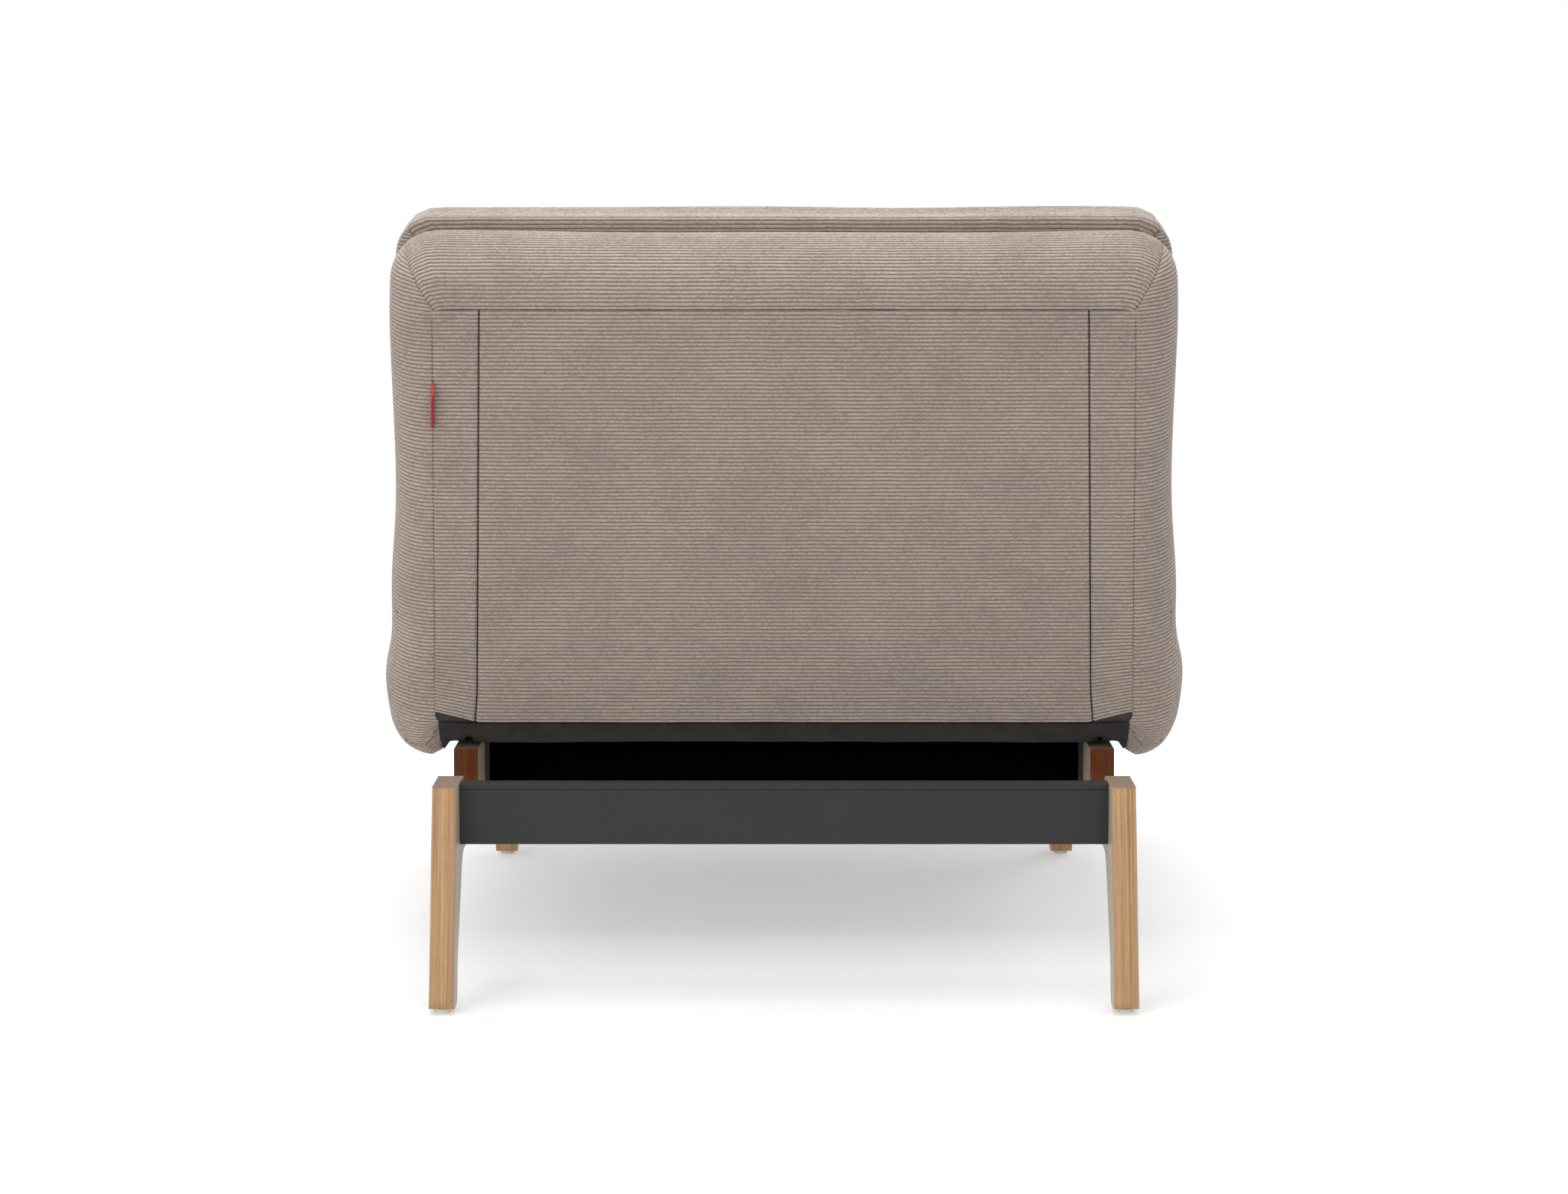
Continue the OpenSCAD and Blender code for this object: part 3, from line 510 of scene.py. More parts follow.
def zinc():
    """Bright zinc plating on fasteners, pins and pawls."""
    tree, finish = new_material("zinc")
    place, x, y, z = object_place(tree)
    turned = tree.noise(tree.vector(x * 2600.0, y * 500.0, z * 500.0), 1.0, 2.0)
    cloud = tree.noise(place, 160.0, 2.0)
    base = tree.mix(cloud, colour(ZINC_DULL), colour(ZINC_BRIGHT))
    return finish(
        {"Base Color": base, "Metallic": 1.0, "Roughness": 0.3 + turned * 0.16 + cloud * 0.1},
        turned * 0.00004, 0.5,
    )


def moulded(name, light, dark, rough):
    """Moulded plastic with a slightly cloudy skin."""
    tree, finish = new_material(name)
    place = object_place(tree)[0]
    skin = tree.noise(place, 900.0, 2.0)
    cloud = tree.noise(place, 120.0, 2.0)
    base = tree.mix(cloud.ramp(0.3, 0.7), colour(dark), colour(light))
    roughness = rough + (skin - 0.5) * 0.15
    return finish({"Base Color": base, "Roughness": roughness}, skin * 0.00006, 0.4)


def lining_cloth(name, tone):
    """Thin bonded cloth with a random web of fibres."""
    tree, finish = new_material(name)
    place = object_place(tree)[0]
    web = tree.noise(place, 700.0, 4.0, 0.75)
    patch = tree.noise(place, 45.0, 3.0)
    shade = 0.5 + (web - 0.5) * 1.1 + (patch - 0.5) * 0.5
    base = tree.mix(shade.ramp(0.1, 0.9), colour(tone, 0.6), colour(tone, 1.45))
    return finish(
        {"Base Color": base, "Roughness": 0.92, "Specular IOR Level": 0.2},
        web * 0.0003 + patch * 0.0006, 0.7,
    )


RIBBON_SHADE = (0.42, 0.012, 0.016)
RIBBON_RED = (0.78, 0.035, 0.04)
TWILLS_PER_METRE = 1700.0


def ribbon_weave():
    """Red ribbon with a fine twill."""
    tree, finish = new_material("twill_ribbon")
    place, _, y, z = object_place(tree)
    twill = ((z + y * 0.7) * TWILLS_PER_METRE).fraction()
    ridge = twill.ramp(0.0, 0.5) * twill.ramp(0.5, 1.0, 1.0, 0.0)
    wear = tree.noise(place, 300.0, 2.0)
    shade = ridge * 0.6 + wear * 0.5
    base = tree.mix(shade, colour(RIBBON_SHADE), colour(RIBBON_RED))
    return finish({"Base Color": base, "Roughness": 0.62 + wear * 0.15}, ridge * 0.00015, 0.6)


TWISTS_PER_METRE = 2600.0


def thread_twist(name, tone):
    """Twisted sewing thread."""
    tree, finish = new_material(name)
    x, y, z = object_place(tree)[1:]
    twist = ((x + y + z) * TWISTS_PER_METRE).fraction()
    base = tree.mix(twist.ramp(0.1, 0.9), colour(tone, 0.75), colour(tone, 1.2))
    return finish({"Base Color": base, "Roughness": 0.7 + twist * 0.1}, twist * 0.00008, 0.4)


# Forms


# A cushion's outline at one level: its half width, its low and high edges, the radii of its
# low and high corners, and how far its edges draw in at their middles
Ring = namedtuple("Ring", "half low high r_low r_high draw")

# Points in half a ring: along its top, round each corner and down its side
TOP_STEPS = 12
CORNER_STEPS = 29
SIDE_STEPS = 80
SIDE_START = TOP_STEPS + CORNER_STEPS
LOW_START = SIDE_START + SIDE_STEPS

# Points in a run along one edge: round each half corner, between them, and in the end
RUN_CORNER = 14
RUN_EDGE = 90
RUN_POINTS = 120

# Points in a whole ring: round each corner, along its top or bottom, and up each side
RING_CORNER = 14
RING_EDGE = 40
RING_SIDE = 26


def bull(t):
    """A rounded rise, from 0 where t is 0 to 1 where it is 1."""
    return 1.0 - np.sqrt(np.maximum(0.0, 1.0 - np.square(t)))


def bell(t):
    """A soft hump, 1 where t is 0."""
    return np.exp(-np.square(t))


def back_bottom(n):
    """Height of the backrest's underside from the axis, which its sweep rounds."""
    if n <= 0:
        return -math.sqrt(max(0.0, SWEEP_R**2 - n * n))
    return max(-(SWEEP_R + SWEEP_SLOPE * n), -math.sqrt(max(0.0, FRONT_SWEEP_R**2 - n * n)))


def arc(x, y, r, start, end, steps):
    """Points on a circle round x and y, between two angles in degrees."""
    angles = np.radians(np.linspace(start, end, steps))
    return np.stack((x + r * np.cos(angles), y + r * np.sin(angles)), -1)


def straight(start, end, steps):
    """Points between two others, without them."""
    part = np.linspace(0, 1, steps + 2)[1:-1, None]
    return np.array(start) * (1 - part) + np.array(end) * part


def drawn(points, ring):
    """Pulls a cushion's edges in at their middles."""
    across = points[:, 0] / ring.half
    up = (points[:, 1] - (ring.low + ring.high) / 2) / ((ring.high - ring.low) / 2)
    pull_x = ring.draw * across * np.abs(across) ** 5 * (1 - np.minimum(1, up**2))
    pull_y = ring.draw * up * np.abs(up) ** 5 * (1 - np.minimum(1, across**2))
    return points - np.stack((pull_x, pull_y), -1)


def distances(points):
    """How far along a run each of its points lies."""
    steps = np.linalg.norm(np.diff(points, axis=0), axis=1)
    return np.concatenate(([0], np.cumsum(steps)))


def evenly(points, count):
    """The same run of points, spaced evenly."""
    marks = distances(points)
    at = np.linspace(0, marks[-1], count)
    return np.stack([np.interp(at, marks, points[:, i]) for i in range(points.shape[1])], -1)


def smoothly(before, start, end, after, part):
    """A place between start and end, on a smooth curve through all four."""
    return 0.5 * (
        2 * start + (end - before) * part + (2 * before - 5 * start + 4 * end - after) * part**2
        + (3 * start - before - 3 * end + after) * part**3
    )


def half_ring(ring):
    """The +X half of a ring, from the middle of its top to the middle of its bottom."""
    half, low, high, r_low, r_high = ring[:5]
    points = np.concatenate((
        straight((0, high), (half - r_high, high), TOP_STEPS),
        arc(half - r_high, high - r_high, r_high, 90, 0, CORNER_STEPS),
        straight((half, high - r_high), (half, low + r_low), SIDE_STEPS),
        arc(half - r_low, low + r_low, r_low, 0, -90, CORNER_STEPS),
        straight((half - r_low, low), (0, low), TOP_STEPS),
    ))
    return drawn(points, ring)


def top_run(ring):
    """The top of a ring, from the middle of one top corner to the middle of the other."""
    half, high, r = ring.half, ring.high, ring.r_high
    points = np.concatenate((
        arc(-half + r, high - r, r, 135, 90, RUN_CORNER),
        straight((-half + r, high), (half - r, high), RUN_EDGE),
        arc(half - r, high - r, r, 90, 45, RUN_CORNER),
    ))
    return evenly(drawn(points, ring), RUN_POINTS)


def bottom_run(ring):
    """The bottom of a ring, from the middle of one low corner to the middle of the other."""
    half, low, r = ring.half, ring.low, ring.r_low
    points = np.concatenate((
        arc(half - r, low + r, r, -45, -90, RUN_CORNER),
        straight((half - r, low), (-half + r, low), RUN_EDGE),
        arc(-half + r, low + r, r, -90, -135, RUN_CORNER),
    ))
    return evenly(drawn(points, ring), RUN_POINTS)


def whole_run(ring):
    """All of a ring, anticlockwise from the middle of its +X side."""
    half, low, high, r_low, r_high = ring[:5]
    mid = (low + high) / 2
    points = np.concatenate((
        straight((half, mid), (half, high - r_high), RING_SIDE // 2),
        arc(half - r_high, high - r_high, r_high, 0, 90, RING_CORNER),
        straight((half - r_high, high), (-half + r_high, high), RING_EDGE),
        arc(-half + r_high, high - r_high, r_high, 90, 180, RING_CORNER),
        straight((-half, high - r_high), (-half, low + r_low), RING_SIDE),
        arc(-half + r_low, low + r_low, r_low, 180, 270, RING_CORNER),
        straight((-half + r_low, low), (half - r_low, low), RING_EDGE),
        arc(half - r_low, low + r_low, r_low, 270, 360, RING_CORNER),
        straight((half, low + r_low), (half, mid), RING_SIDE // 2),
    ))
    return drawn(points, ring)


# How a side border stands out: a low swell that fades faster above than below, a long one over
# it, and a narrowing at the top
LOW_SWELL_W = 14.0
LOW_SWELL_ABOVE = 50.0
LOW_SWELL_BELOW = 75.0
LONG_SWELL = 11.0
LONG_SWELL_W = 120.0
LONG_SWELL_REACH = 90.0
NARROWING = 7.5
NARROWING_W = 560.0
NARROWING_REACH = 70.0
CASING_BULGE = 19.0

# Where, from the middle outwards, the bulge and the seams' taper have come in fully
BULGE_X = 360.0
TAPER_X = 200.0

# The low corners' droop: where it begins, over what width it comes in and up to what height
DROOP = 20.0
DROOP_X = 391.5
DROOP_REACH = 16.0
DROOP_TOP = 30.0
DROOP_FADE = 70.0


def bulge_at(w, low_bulge):
    """How far a side border stands out: most near its bottom, drawn in a little at the top."""
    reach = np.where(w > LOW_SWELL_W, LOW_SWELL_ABOVE, LOW_SWELL_BELOW)
    low = low_bulge * bell((w - LOW_SWELL_W) / reach)
    low = low + LONG_SWELL * bell((w - LONG_SWELL_W) / LONG_SWELL_REACH)
    return low - NARROWING * bell((w - NARROWING_W) / NARROWING_REACH)


def side_share(x):
    """How much of a side's bulge a place takes, from 0 at the middle to 1 near the side."""
    return np.minimum(1, np.abs(x) / BULGE_X)


def droop_at(x):
    """How far the low corners hang below the lining, outside the side frames."""
    part = np.clip((np.abs(x) - DROOP_X) / DROOP_REACH, 0, 1)
    return DROOP * part * part * (3 - 2 * part)


def swelled(points, amount, low_bulge, droop):
    """The bulge of each side border, and the low corners that hang down."""
    x, w = points[:, 0], points[:, 1]
    bulge = amount * bulge_at(w, low_bulge) * side_share(x)
    down = amount * droop * droop_at(x) * np.clip((DROOP_TOP - w) / DROOP_FADE, 0, 1)
    return np.stack((x + np.sign(x) * bulge, w - down), -1)


def tapered(points, amount):
    """The rear seams run slightly together towards the top."""
    x, w = points[:, 0], points[:, 1]
    shift = SEAM_TAPER * amount * (0.5 - w / PANEL_TOP) * np.minimum(1, np.abs(x) / TAPER_X)
    return np.stack((x + np.sign(x) * shift, w), -1)


# The casing's border: steps round its rounded corner, from the rear panel's seam, and along the
# strip in front of it, the depth of both, and how far the strip's front draws in to the pad
CORNER_TURN = 15
STRIP_TURN = 6
CASING_STEPS = CORNER_TURN + STRIP_TURN + 1
CORNER_N = 20.0
CORNER_DEPTH = 75.0
CASING_REAR = CORNER_N - CORNER_DEPTH
STRIP_DEPTH = 15.0
STRIP_DRAW = 6.0

# The casing's outline at its widest, and the radii of its corners there and at the panel's seam
CASING_TOP = 552.0
CASING_LOW_R = 44.0
CASING_TOP_R = 50.0
PANEL_LOW_R = 10.0
PANEL_TOP_R = 13.0
CASING_DRAW = 2.0

# The slots in the lining through which the hinge brackets' necks pass
NECK_SLOT = (364.6, 373.0)
NECK_SLOT_START = -42.5


def casing_place(step):
    """Distance n, how far the corner is rounded off and how far the front draws in."""
    if step <= CORNER_TURN:
        angle = math.pi / 2 * (1 - step / CORNER_TURN)
        return CORNER_N - CORNER_DEPTH * math.sin(angle), 1 - math.cos(angle), 0.0
    angle = (step - CORNER_TURN) / STRIP_TURN * math.pi / 2
    return CORNER_N + STRIP_DEPTH * math.sin(angle), 0.0, STRIP_DRAW * (1 - math.cos(angle))


def narrowed(widest, at_panel, rounding):
    """A size of the casing between its widest and its rear panel."""
    return widest - (widest - at_panel) * rounding


def casing_ring(step, shrink=0.0):
    """Distance n, rounding and ring of the casing, for a step along its border."""
    n, rounding, front_in = casing_place(step)
    inset = shrink + front_in
    ring = Ring(
        half=narrowed(HALF, SEAM_X, rounding) - inset,
        low=back_bottom(n) + inset,
        high=narrowed(CASING_TOP, PANEL_TOP, rounding) - inset,
        r_low=narrowed(CASING_LOW_R, PANEL_LOW_R, rounding),
        r_high=narrowed(CASING_TOP_R, PANEL_TOP_R, rounding),
        draw=CASING_DRAW * (1 - rounding),
    )
    return n, rounding, ring


def on_ring(run, n, rounding, low_bulge=CASING_BULGE, droop=1.0):
    """A run of points as x, n and w, with the bulge, the droop and the seams' taper."""
    points = tapered(swelled(run, 1 - rounding, low_bulge, droop), rounding)
    return np.stack((points[:, 0], np.full(len(points), n), points[:, 1]), -1)


def casing_net(run_of):
    """A net of points over one side of the casing's border."""
    rows = []
    for step in range(CASING_STEPS):
        n, rounding, ring = casing_ring(step)
        rows.append(on_ring(run_of(ring), n, rounding))
    return np.array(rows)


def casing_half(step):
    """The +X half of the casing's outline, for a step along its border."""
    n, rounding, ring = casing_ring(step)
    return on_ring(half_ring(ring), n, rounding)


# The pad's levels: distance from its rear face, how far its edge is set in, and its draw
PAD_PROFILE = np.array([
    [0, 22, 0], [0.2, 12, 0], [1.3, 5, 0], [3.6, 1.4, 0], [8, 0, 0], [15, 0, 1], [24, 0, 2.4],
    [34.5, 0, 3], [45, 0, 2.4], [53, 0.2, 1], [59, 1, 0], [64, 3, 0], [68.5, 6.4, 0],
    [72, 11, 0], [74.2, 17, 0],
])
PAD_INSET = 1.5
PAD_LOW_R = 36.0
PAD_TOP_R = 42.0
PAD_LEAST_R = 20.0


def pad_ring(level, shrink=0.0):
    """Distance n and ring of the pad at a level of its profile."""
    distance, inset, draw = level
    n = PAD_REAR + distance
    inset = inset + shrink
    return n, Ring(
        half=HALF - PAD_INSET - inset,
        low=back_bottom(min(n, FRONT_SWEEP_R - 2)) + inset,
        high=PAD_TOP - inset,
        r_low=max(PAD_LEAST_R, PAD_LOW_R - 0.4 * inset),
        r_high=max(PAD_LEAST_R, PAD_TOP_R - 0.3 * inset),
        draw=draw,
    )


def on_pad(run_of, level):
    """A run round the pad at a level of its profile, as x, n and w."""
    n, ring = pad_ring(level)
    return on_ring(run_of(ring), n, 0.0, PAD_BULGE, 0.0)


def pad_half(step):
    """The +X half of the pad's outline, for a step between the levels of its profile."""
    last = len(PAD_PROFILE) - 1
    low = min(int(step), last - 1)
    level = smoothly(
        PAD_PROFILE[max(low - 1, 0)], PAD_PROFILE[low],
        PAD_PROFILE[low + 1], PAD_PROFILE[min(low + 2, last)], step - low,
    )
    return on_pad(half_ring, level)


def pad_net(run_of):
    """A net of points over one side of the pad."""
    return np.array([on_pad(run_of, level) for level in PAD_PROFILE])


# The seat cushion's levels: distance from its underside, how far its edge is set in, its draw
SEAT_PROFILE = np.array([
    [0, 14, 0], [1.4, 8, 0], [3.6, 4, 0], [7, 1.2, 0], [11.2, 0, 0], [22, 0, 1.6],
    [45, 0, 4.2], [74, 0, 5], [103, 0, 4.2], [122, 0, 1.6], [132, 0.2, 0.4], [138, 1.4, 0],
    [142, 4, 0], [144.6, 8, 0], [146.2, 13, 0],
])
SEAT_REAR_LEAN = 0.09
SEAT_FRONT_R = 45.0
SEAT_REAR_R = 30.0
SEAT_LEAST_R = 12.0


def seat_ring(level, shrink=0.0):
    """Height and ring of the seat cushion, whose low edge is the front, at a level."""
    distance, inset, draw = level
    z = SEAT_Z + distance
    inset = inset + shrink
    rear_u = SEAT_REAR_U - max(0, z - PIVOT_Z) * SEAT_REAR_LEAN + inset
    front_u = SEAT_FRONT_U - inset
    return z, Ring(
        half=HALF - inset,
        low=REAR_Y - front_u,
        high=REAR_Y - rear_u,
        r_low=max(SEAT_LEAST_R, SEAT_FRONT_R - inset * 0.2),
        r_high=max(SEAT_LEAST_R, SEAT_REAR_R - inset * 0.1),
        draw=draw,
    )


def back_place(points):
    """Puts points given as x, n and w where the backrest has them at rest, in metres."""
    x, n, w = points[..., 0], points[..., 1], points[..., 2]
    u = PIVOT_U + n * math.cos(LEAN) - w * math.sin(LEAN)
    z = PIVOT_Z + n * math.sin(LEAN) + w * math.cos(LEAN)
    return np.stack((x, REAR_Y - u, z), -1) * MM


def seat_place(points):
    """Puts points given as x, y and z in metres."""
    return points * MM


# Cloth


# Rows of points across one rib, and the first columns beside a sewn edge
ROWS_PER_RIB = 6
CLOSE_COLUMNS = np.array([0, 0.3, 0.8, 1.6, 3.0, 5.0, 8.0])

# How far from its line a seam draws the cloth in: deep ones, the casing's, the panel's, the zips
DEEP_SEAM = 5.5
CASING_SEAM = 4.5
PANEL_SEAM = 4.0
ZIP_SEAM = 2.2

# How uneven each cover lies: the length of its slow waves and their height, in metres
PANEL_WAVES = (0.22, 0.0007)
TOP_WAVES = (0.35, 0.0012)
SIDE_WAVES = (0.3, 0.0007)
SIDE_SLACK_WAVES = (0.09, 0.0009)
PAD_WAVES = (0.3, 0.0019)
PAD_FACE_WAVES = (0.26, 0.0016)
SEAT_WAVES = (0.25, 0.0013)
SEAT_FACE_WAVES = (0.3, 0.002)
LINING_WAVES = (0.06, 0.0003)

# The ribs' small wander: a seed, and the length and height of its waves
RIB_WANDER = ((71, (0.06, 0.0004)), (72, (0.016, 0.00016)))

# How many waves make up an unevenness, and what their sum is divided by
WAVES = 7
WAVE_SUM = 4.5


def uneven(points, seed, size):
    """A slow unevenness of a hand-sewn cushion, about from -1 to 1."""
    draw = np.random.default_rng(seed)
    total = np.zeros(points.shape[:-1])
    for _ in range(WAVES):
        direction = draw.normal(size=3)
        direction /= np.linalg.norm(direction)
        wave = size * draw.uniform(0.6, 1.8)
        total += np.sin(points @ direction * (2 * math.pi / wave) + draw.uniform(0, 6.3))
    return total / WAVE_SUM


def wavy(points, seed, waves):
    """The unevenness of a cover, in metres, from its waves' length and height."""
    size, height = waves
    return uneven(points, seed, size) * height


def marks_along(net, axis):
    """Distances along the middle line of a net."""
    other = 1 - axis
    return distances(np.take(net, net.shape[other] // 2, axis=other))


def sampled(net, axis, at, marks):
    """The net's points at given distances along one axis, on smooth curves."""
    net = np.moveaxis(net, axis, 0)
    before, after = 2 * net[0] - net[1], 2 * net[-1] - net[-2]
    longer = np.concatenate((before[None], net, after[None]))
    index = np.interp(at, marks, np.arange(len(marks)))
    first = np.minimum(index.astype(int), len(marks) - 2)
    part = (index - first)[:, None, None]
    curve = smoothly(*(longer[first + offset] for offset in range(4)), part)
    return np.moveaxis(curve, 0, axis)


def graded(length, step):
    """Distances along a cut, closer together beside its sewn edges."""
    close = CLOSE_COLUMNS[-1]
    count = max(2, math.ceil((length - 2 * close) / step) + 1)
    inner = np.linspace(close, length - close, count)
    return np.concatenate((CLOSE_COLUMNS[:-1], inner, (length - CLOSE_COLUMNS[:-1])[::-1]))


def facing(points, closed=False):
    """The unit normals of a grid of points."""
    if closed:
        wide = np.concatenate((points[:, -1:], points, points[:, :1]), axis=1)
        along = np.gradient(wide, axis=1)[:, 1:-1]
    else:
        along = np.gradient(points, axis=1)
    down = np.gradient(points, axis=0)
    normal = np.cross(down, along)
    size = np.linalg.norm(normal, axis=-1, keepdims=True)
    return normal / np.maximum(size, 1e-12)


class Cut:
    """One cut piece of cloth: a grid whose rows follow the ribs.

    Across is the distance across the ribs and along the distance along them. First and
    last are the distances at which each column of the cut begins and ends. A slot marks
    the faces that are cut away.
    """

    def __init__(self, points, across, along, centre, closed=False, first=None, last=None):
        self.points = points
        self.across = across
        self.along = along
        self.closed = closed
        self.slot = None
        columns = points.shape[1]
        self.first = np.full(columns, across.min() - 1.0) if first is None else first
        self.last = np.full(columns, across.max() + 1.0) if last is None else last
        self.normal = facing(points, closed)
        self.flipped = bool(((points - centre) * self.normal).sum() < 0)
        if self.flipped:
            self.normal = -self.normal

    def push(self, amount):
        self.points = self.points + self.normal * amount[..., None]
        return self

    def gaps(self):
        """The distance of every point from the cut's four edges."""
        first = np.maximum(self.first, self.across.min())
        last = np.minimum(self.last, self.across.max())
        return {
            "start": self.across - first, "end": last - self.across,
            "left": self.along - self.along.min(), "right": self.along.max() - self.along,
        }

    def trimmed(self, values):
        """Values of the grid, with the rows beyond a slanted end drawn in to it."""
        rows = self.across[:, 0]
        at = np.interp(np.clip(self.across, self.first, self.last), rows, np.arange(len(rows)))
        low = np.minimum(at.astype(int), len(rows) - 2)
        part = (at - low)[..., None]
        columns = np.arange(values.shape[1])[None, :]
        return values[low, columns] * (1 - part) + values[low + 1, columns] * part

    def corners(self):
        """For each face of the cut, its corners as places in the flattened grid."""
        rows, columns = self.across.shape
        start = (self.across <= self.first).sum(axis=0) - 1
        end = rows - (self.across >= self.last).sum(axis=0)
        i, j = np.meshgrid(
            np.arange(rows - 1), np.arange(columns if self.closed else columns - 1), indexing="ij"
        )
        k = (j + 1) % columns
        quads = []
        for row, column in ((i, j), (i + 1, j), (i + 1, k), (i, k)):
            inside = np.clip(row, start[column], end[column])
            quads.append(inside * columns + column)
        quads = np.stack(quads, -1).reshape(-1, 4)
        if self.slot is not None:
            quads = quads[~self.slot.ravel()]
        faces = []
        for quad in quads.tolist():
            face = [p for place, p in enumerate(quad) if p != quad[place - 1]]
            if len(face) > 2:
                faces.append(face[::-1] if self.flipped else face)
        return faces


def side_cut(ring_at, last_step, place, centre, cloth, step, side, stop_x=None):
    """The cut over one side of a cushion, with level ribs.

    It begins at the middle of the top corners and ends at stop_x on the underside, or at
    the middle of the low corners. Distances across the ribs are measured down from halfway.
    """
    steps = np.arange(last_step + 1.0)
    middles = np.array([ring_at(at)[SIDE_START + SIDE_STEPS // 2, :2] for at in steps])
    marks = distances(middles)
    columns = graded(marks[-1], step)
    beside, under = slice(SIDE_START, LOW_START), slice(LOW_START, None)
    paths, downs, first, last = [], [], [], []
    for at in np.interp(columns, marks, steps):
        path = ring_at(at)
        down = distances(path)
        down -= np.interp(MIDDLE_W, path[beside, 2][::-1], down[beside][::-1])
        paths.append(path)
        downs.append(down)
        first.append(down[TOP_STEPS + CORNER_STEPS // 2])
        if stop_x is None:
            last.append(down[LOW_START + CORNER_STEPS // 2])
        else:
            last.append(np.interp(stop_x, path[under, 0][::-1], down[under][::-1]))
    first, last = np.array(first), np.array(last)
    spare = 1.0
    pitch = cloth.rib_pitch / MM
    count = math.ceil((last.max() - first.min() + 2 * spare) / pitch * ROWS_PER_RIB)
    rows = np.linspace(first.min() - spare, last.max() + spare, count + 1)
    grid = np.empty((len(rows), len(columns), 3))
    for j, (path, down) in enumerate(zip(paths, downs)):
        for axis in range(3):
            grid[:, j, axis] = np.interp(rows, down, path[:, axis])
    grid[..., 0] *= side
    across = np.broadcast_to(rows[:, None], grid.shape[:2])
    along = np.broadcast_to(columns[None, :], grid.shape[:2])
    return Cut(place(grid), across, along, np.array(centre), first=first, last=last)


def cut_from_net(net, place, centre, cloth, step=None):
    """Samples a net finely across its ribs. Without a step for its columns it is a closed band."""
    row_marks = marks_along(net, 0)
    pitch = cloth.rib_pitch / MM
    count = max(2, round(row_marks[-1] / pitch * ROWS_PER_RIB))
    row_at = np.linspace(0, row_marks[-1], count + 1)
    grid = sampled(net, 0, row_at, row_marks)
    closed = step is None
    if closed:
        col_at = marks_along(np.concatenate((net, net[:, :1]), axis=1), 1)[:-1]
    else:
        col_marks = marks_along(net, 1)
        col_at = graded(col_marks[-1], step)
        grid = sampled(grid, 1, col_at, col_marks)
    across = np.broadcast_to(row_at[:, None], grid.shape[:2])
    along = np.broadcast_to(col_at[None, :], grid.shape[:2])
    return Cut(place(grid), across, along, np.array(centre), closed)


def sew(cut, cloth, edges, width=DEEP_SEAM):
    """Turns the named edges in, as a seam does. Edges are start, end, left and right."""
    gaps = cut.gaps()
    total = np.zeros(cut.across.shape)
    for edge, share in edges.items():
        total = np.maximum(total, share * bull(np.clip(1 - gaps[edge] / width, 0, 1)))
    return cut.push(-cloth.seam_depth * total)


def make_object(name, points, faces, uv=None, material=None, smooth=True, attributes=None):
    """A new object, with its UV map, its named values on points and its material."""
    mesh = bpy.data.meshes.new(name)
    mesh.from_pydata(points.tolist(), [], faces)
    if uv is not None:
        layer = mesh.uv_layers.new(name="cloth")
        corners = np.empty(len(mesh.loops), dtype=np.int64)
        mesh.loops.foreach_get("vertex_index", corners)
        layer.data.foreach_set("uv", uv[corners].astype(np.float32).ravel())
    for key, values in (attributes or {}).items():
        attribute = mesh.attributes.new(key, "FLOAT", "POINT")
        attribute.data.foreach_set("value", np.asarray(values, dtype=np.float32))
    mesh.polygons.foreach_set("use_smooth", [smooth] * len(mesh.polygons))
    if material is not None:
        mesh.materials.append(material)
    mesh.update()
    made = bpy.data.objects.new(name, mesh)
    bpy.context.scene.collection.objects.link(made)
    return made


def band_faces(rings, count):
    """The faces between the rings of a stack, each of as many points."""
    i, j = np.meshgrid(np.arange(rings - 1), np.arange(count), indexing="ij")
    k = (j + 1) % count
    quads = np.stack((i * count + j, (i + 1) * count + j, (i + 1) * count + k, i * count + k), -1)
    return quads.reshape(-1, 4).tolist()


def cloth_piece(name, cut, cloth, material, ribs=True, thickness=None):
    """Closes a cut into a thin cloth and presses the ribs into it."""
    faces = cut.corners()
    used = np.unique(np.concatenate([np.array(face) for face in faces]))
    new_index = np.zeros(cut.across.size, dtype=int)
    new_index[used] = np.arange(len(used))
    faces = [[int(new_index[p]) for p in face] for face in faces]
    outer = cut.trimmed(cut.points).reshape(-1, 3)[used]
    normal = cut.trimmed(cut.normal).reshape(-1, 3)[used]
    across = np.clip(cut.across, cut.first, cut.last).ravel()[used] * MM
    for seed, waves in RIB_WANDER:
        across = across + wavy(outer, seed, waves)
    along = cut.along.ravel()[used] * MM
    total = len(used)
    edges = {(face[i - 1], face[i]) for face in faces for i in range(len(face))}
    rim = [[b, a, a + total, b + total] for a, b in sorted(edges) if (b, a) not in edges]
    backs = [[p + total for p in reversed(face)] for face in faces]
    uv = np.tile(np.stack((along, across), -1), (2, 1))
    pile = np.concatenate((np.ones(total), np.zeros(total)))
    inner = outer - normal * (thickness or cloth.thickness)
    piece = make_object(
        name, np.concatenate((outer, inner)), faces + backs + rim, uv, material,
        attributes={"pile": pile, "across": np.tile(across, 2)} if ribs else None,
    )
    if ribs:
        press_ribs(piece, cloth, material)
    return piece


# Geometry Nodes


def new_node_group(name, inputs):
    group = bpy.data.node_groups.new(name, "GeometryNodeTree")
    face = group.interface
    face.new_socket("Geometry", in_out="INPUT", socket_type="NodeSocketGeometry")
    for label, kind, value in inputs:
        socket = face.new_socket(label, in_out="INPUT", socket_type=kind)
        if value is not None:
            socket.default_value = value
    face.new_socket("Geometry", in_out="OUTPUT", socket_type="NodeSocketGeometry")
    return group, Tree(group.nodes, group.links)


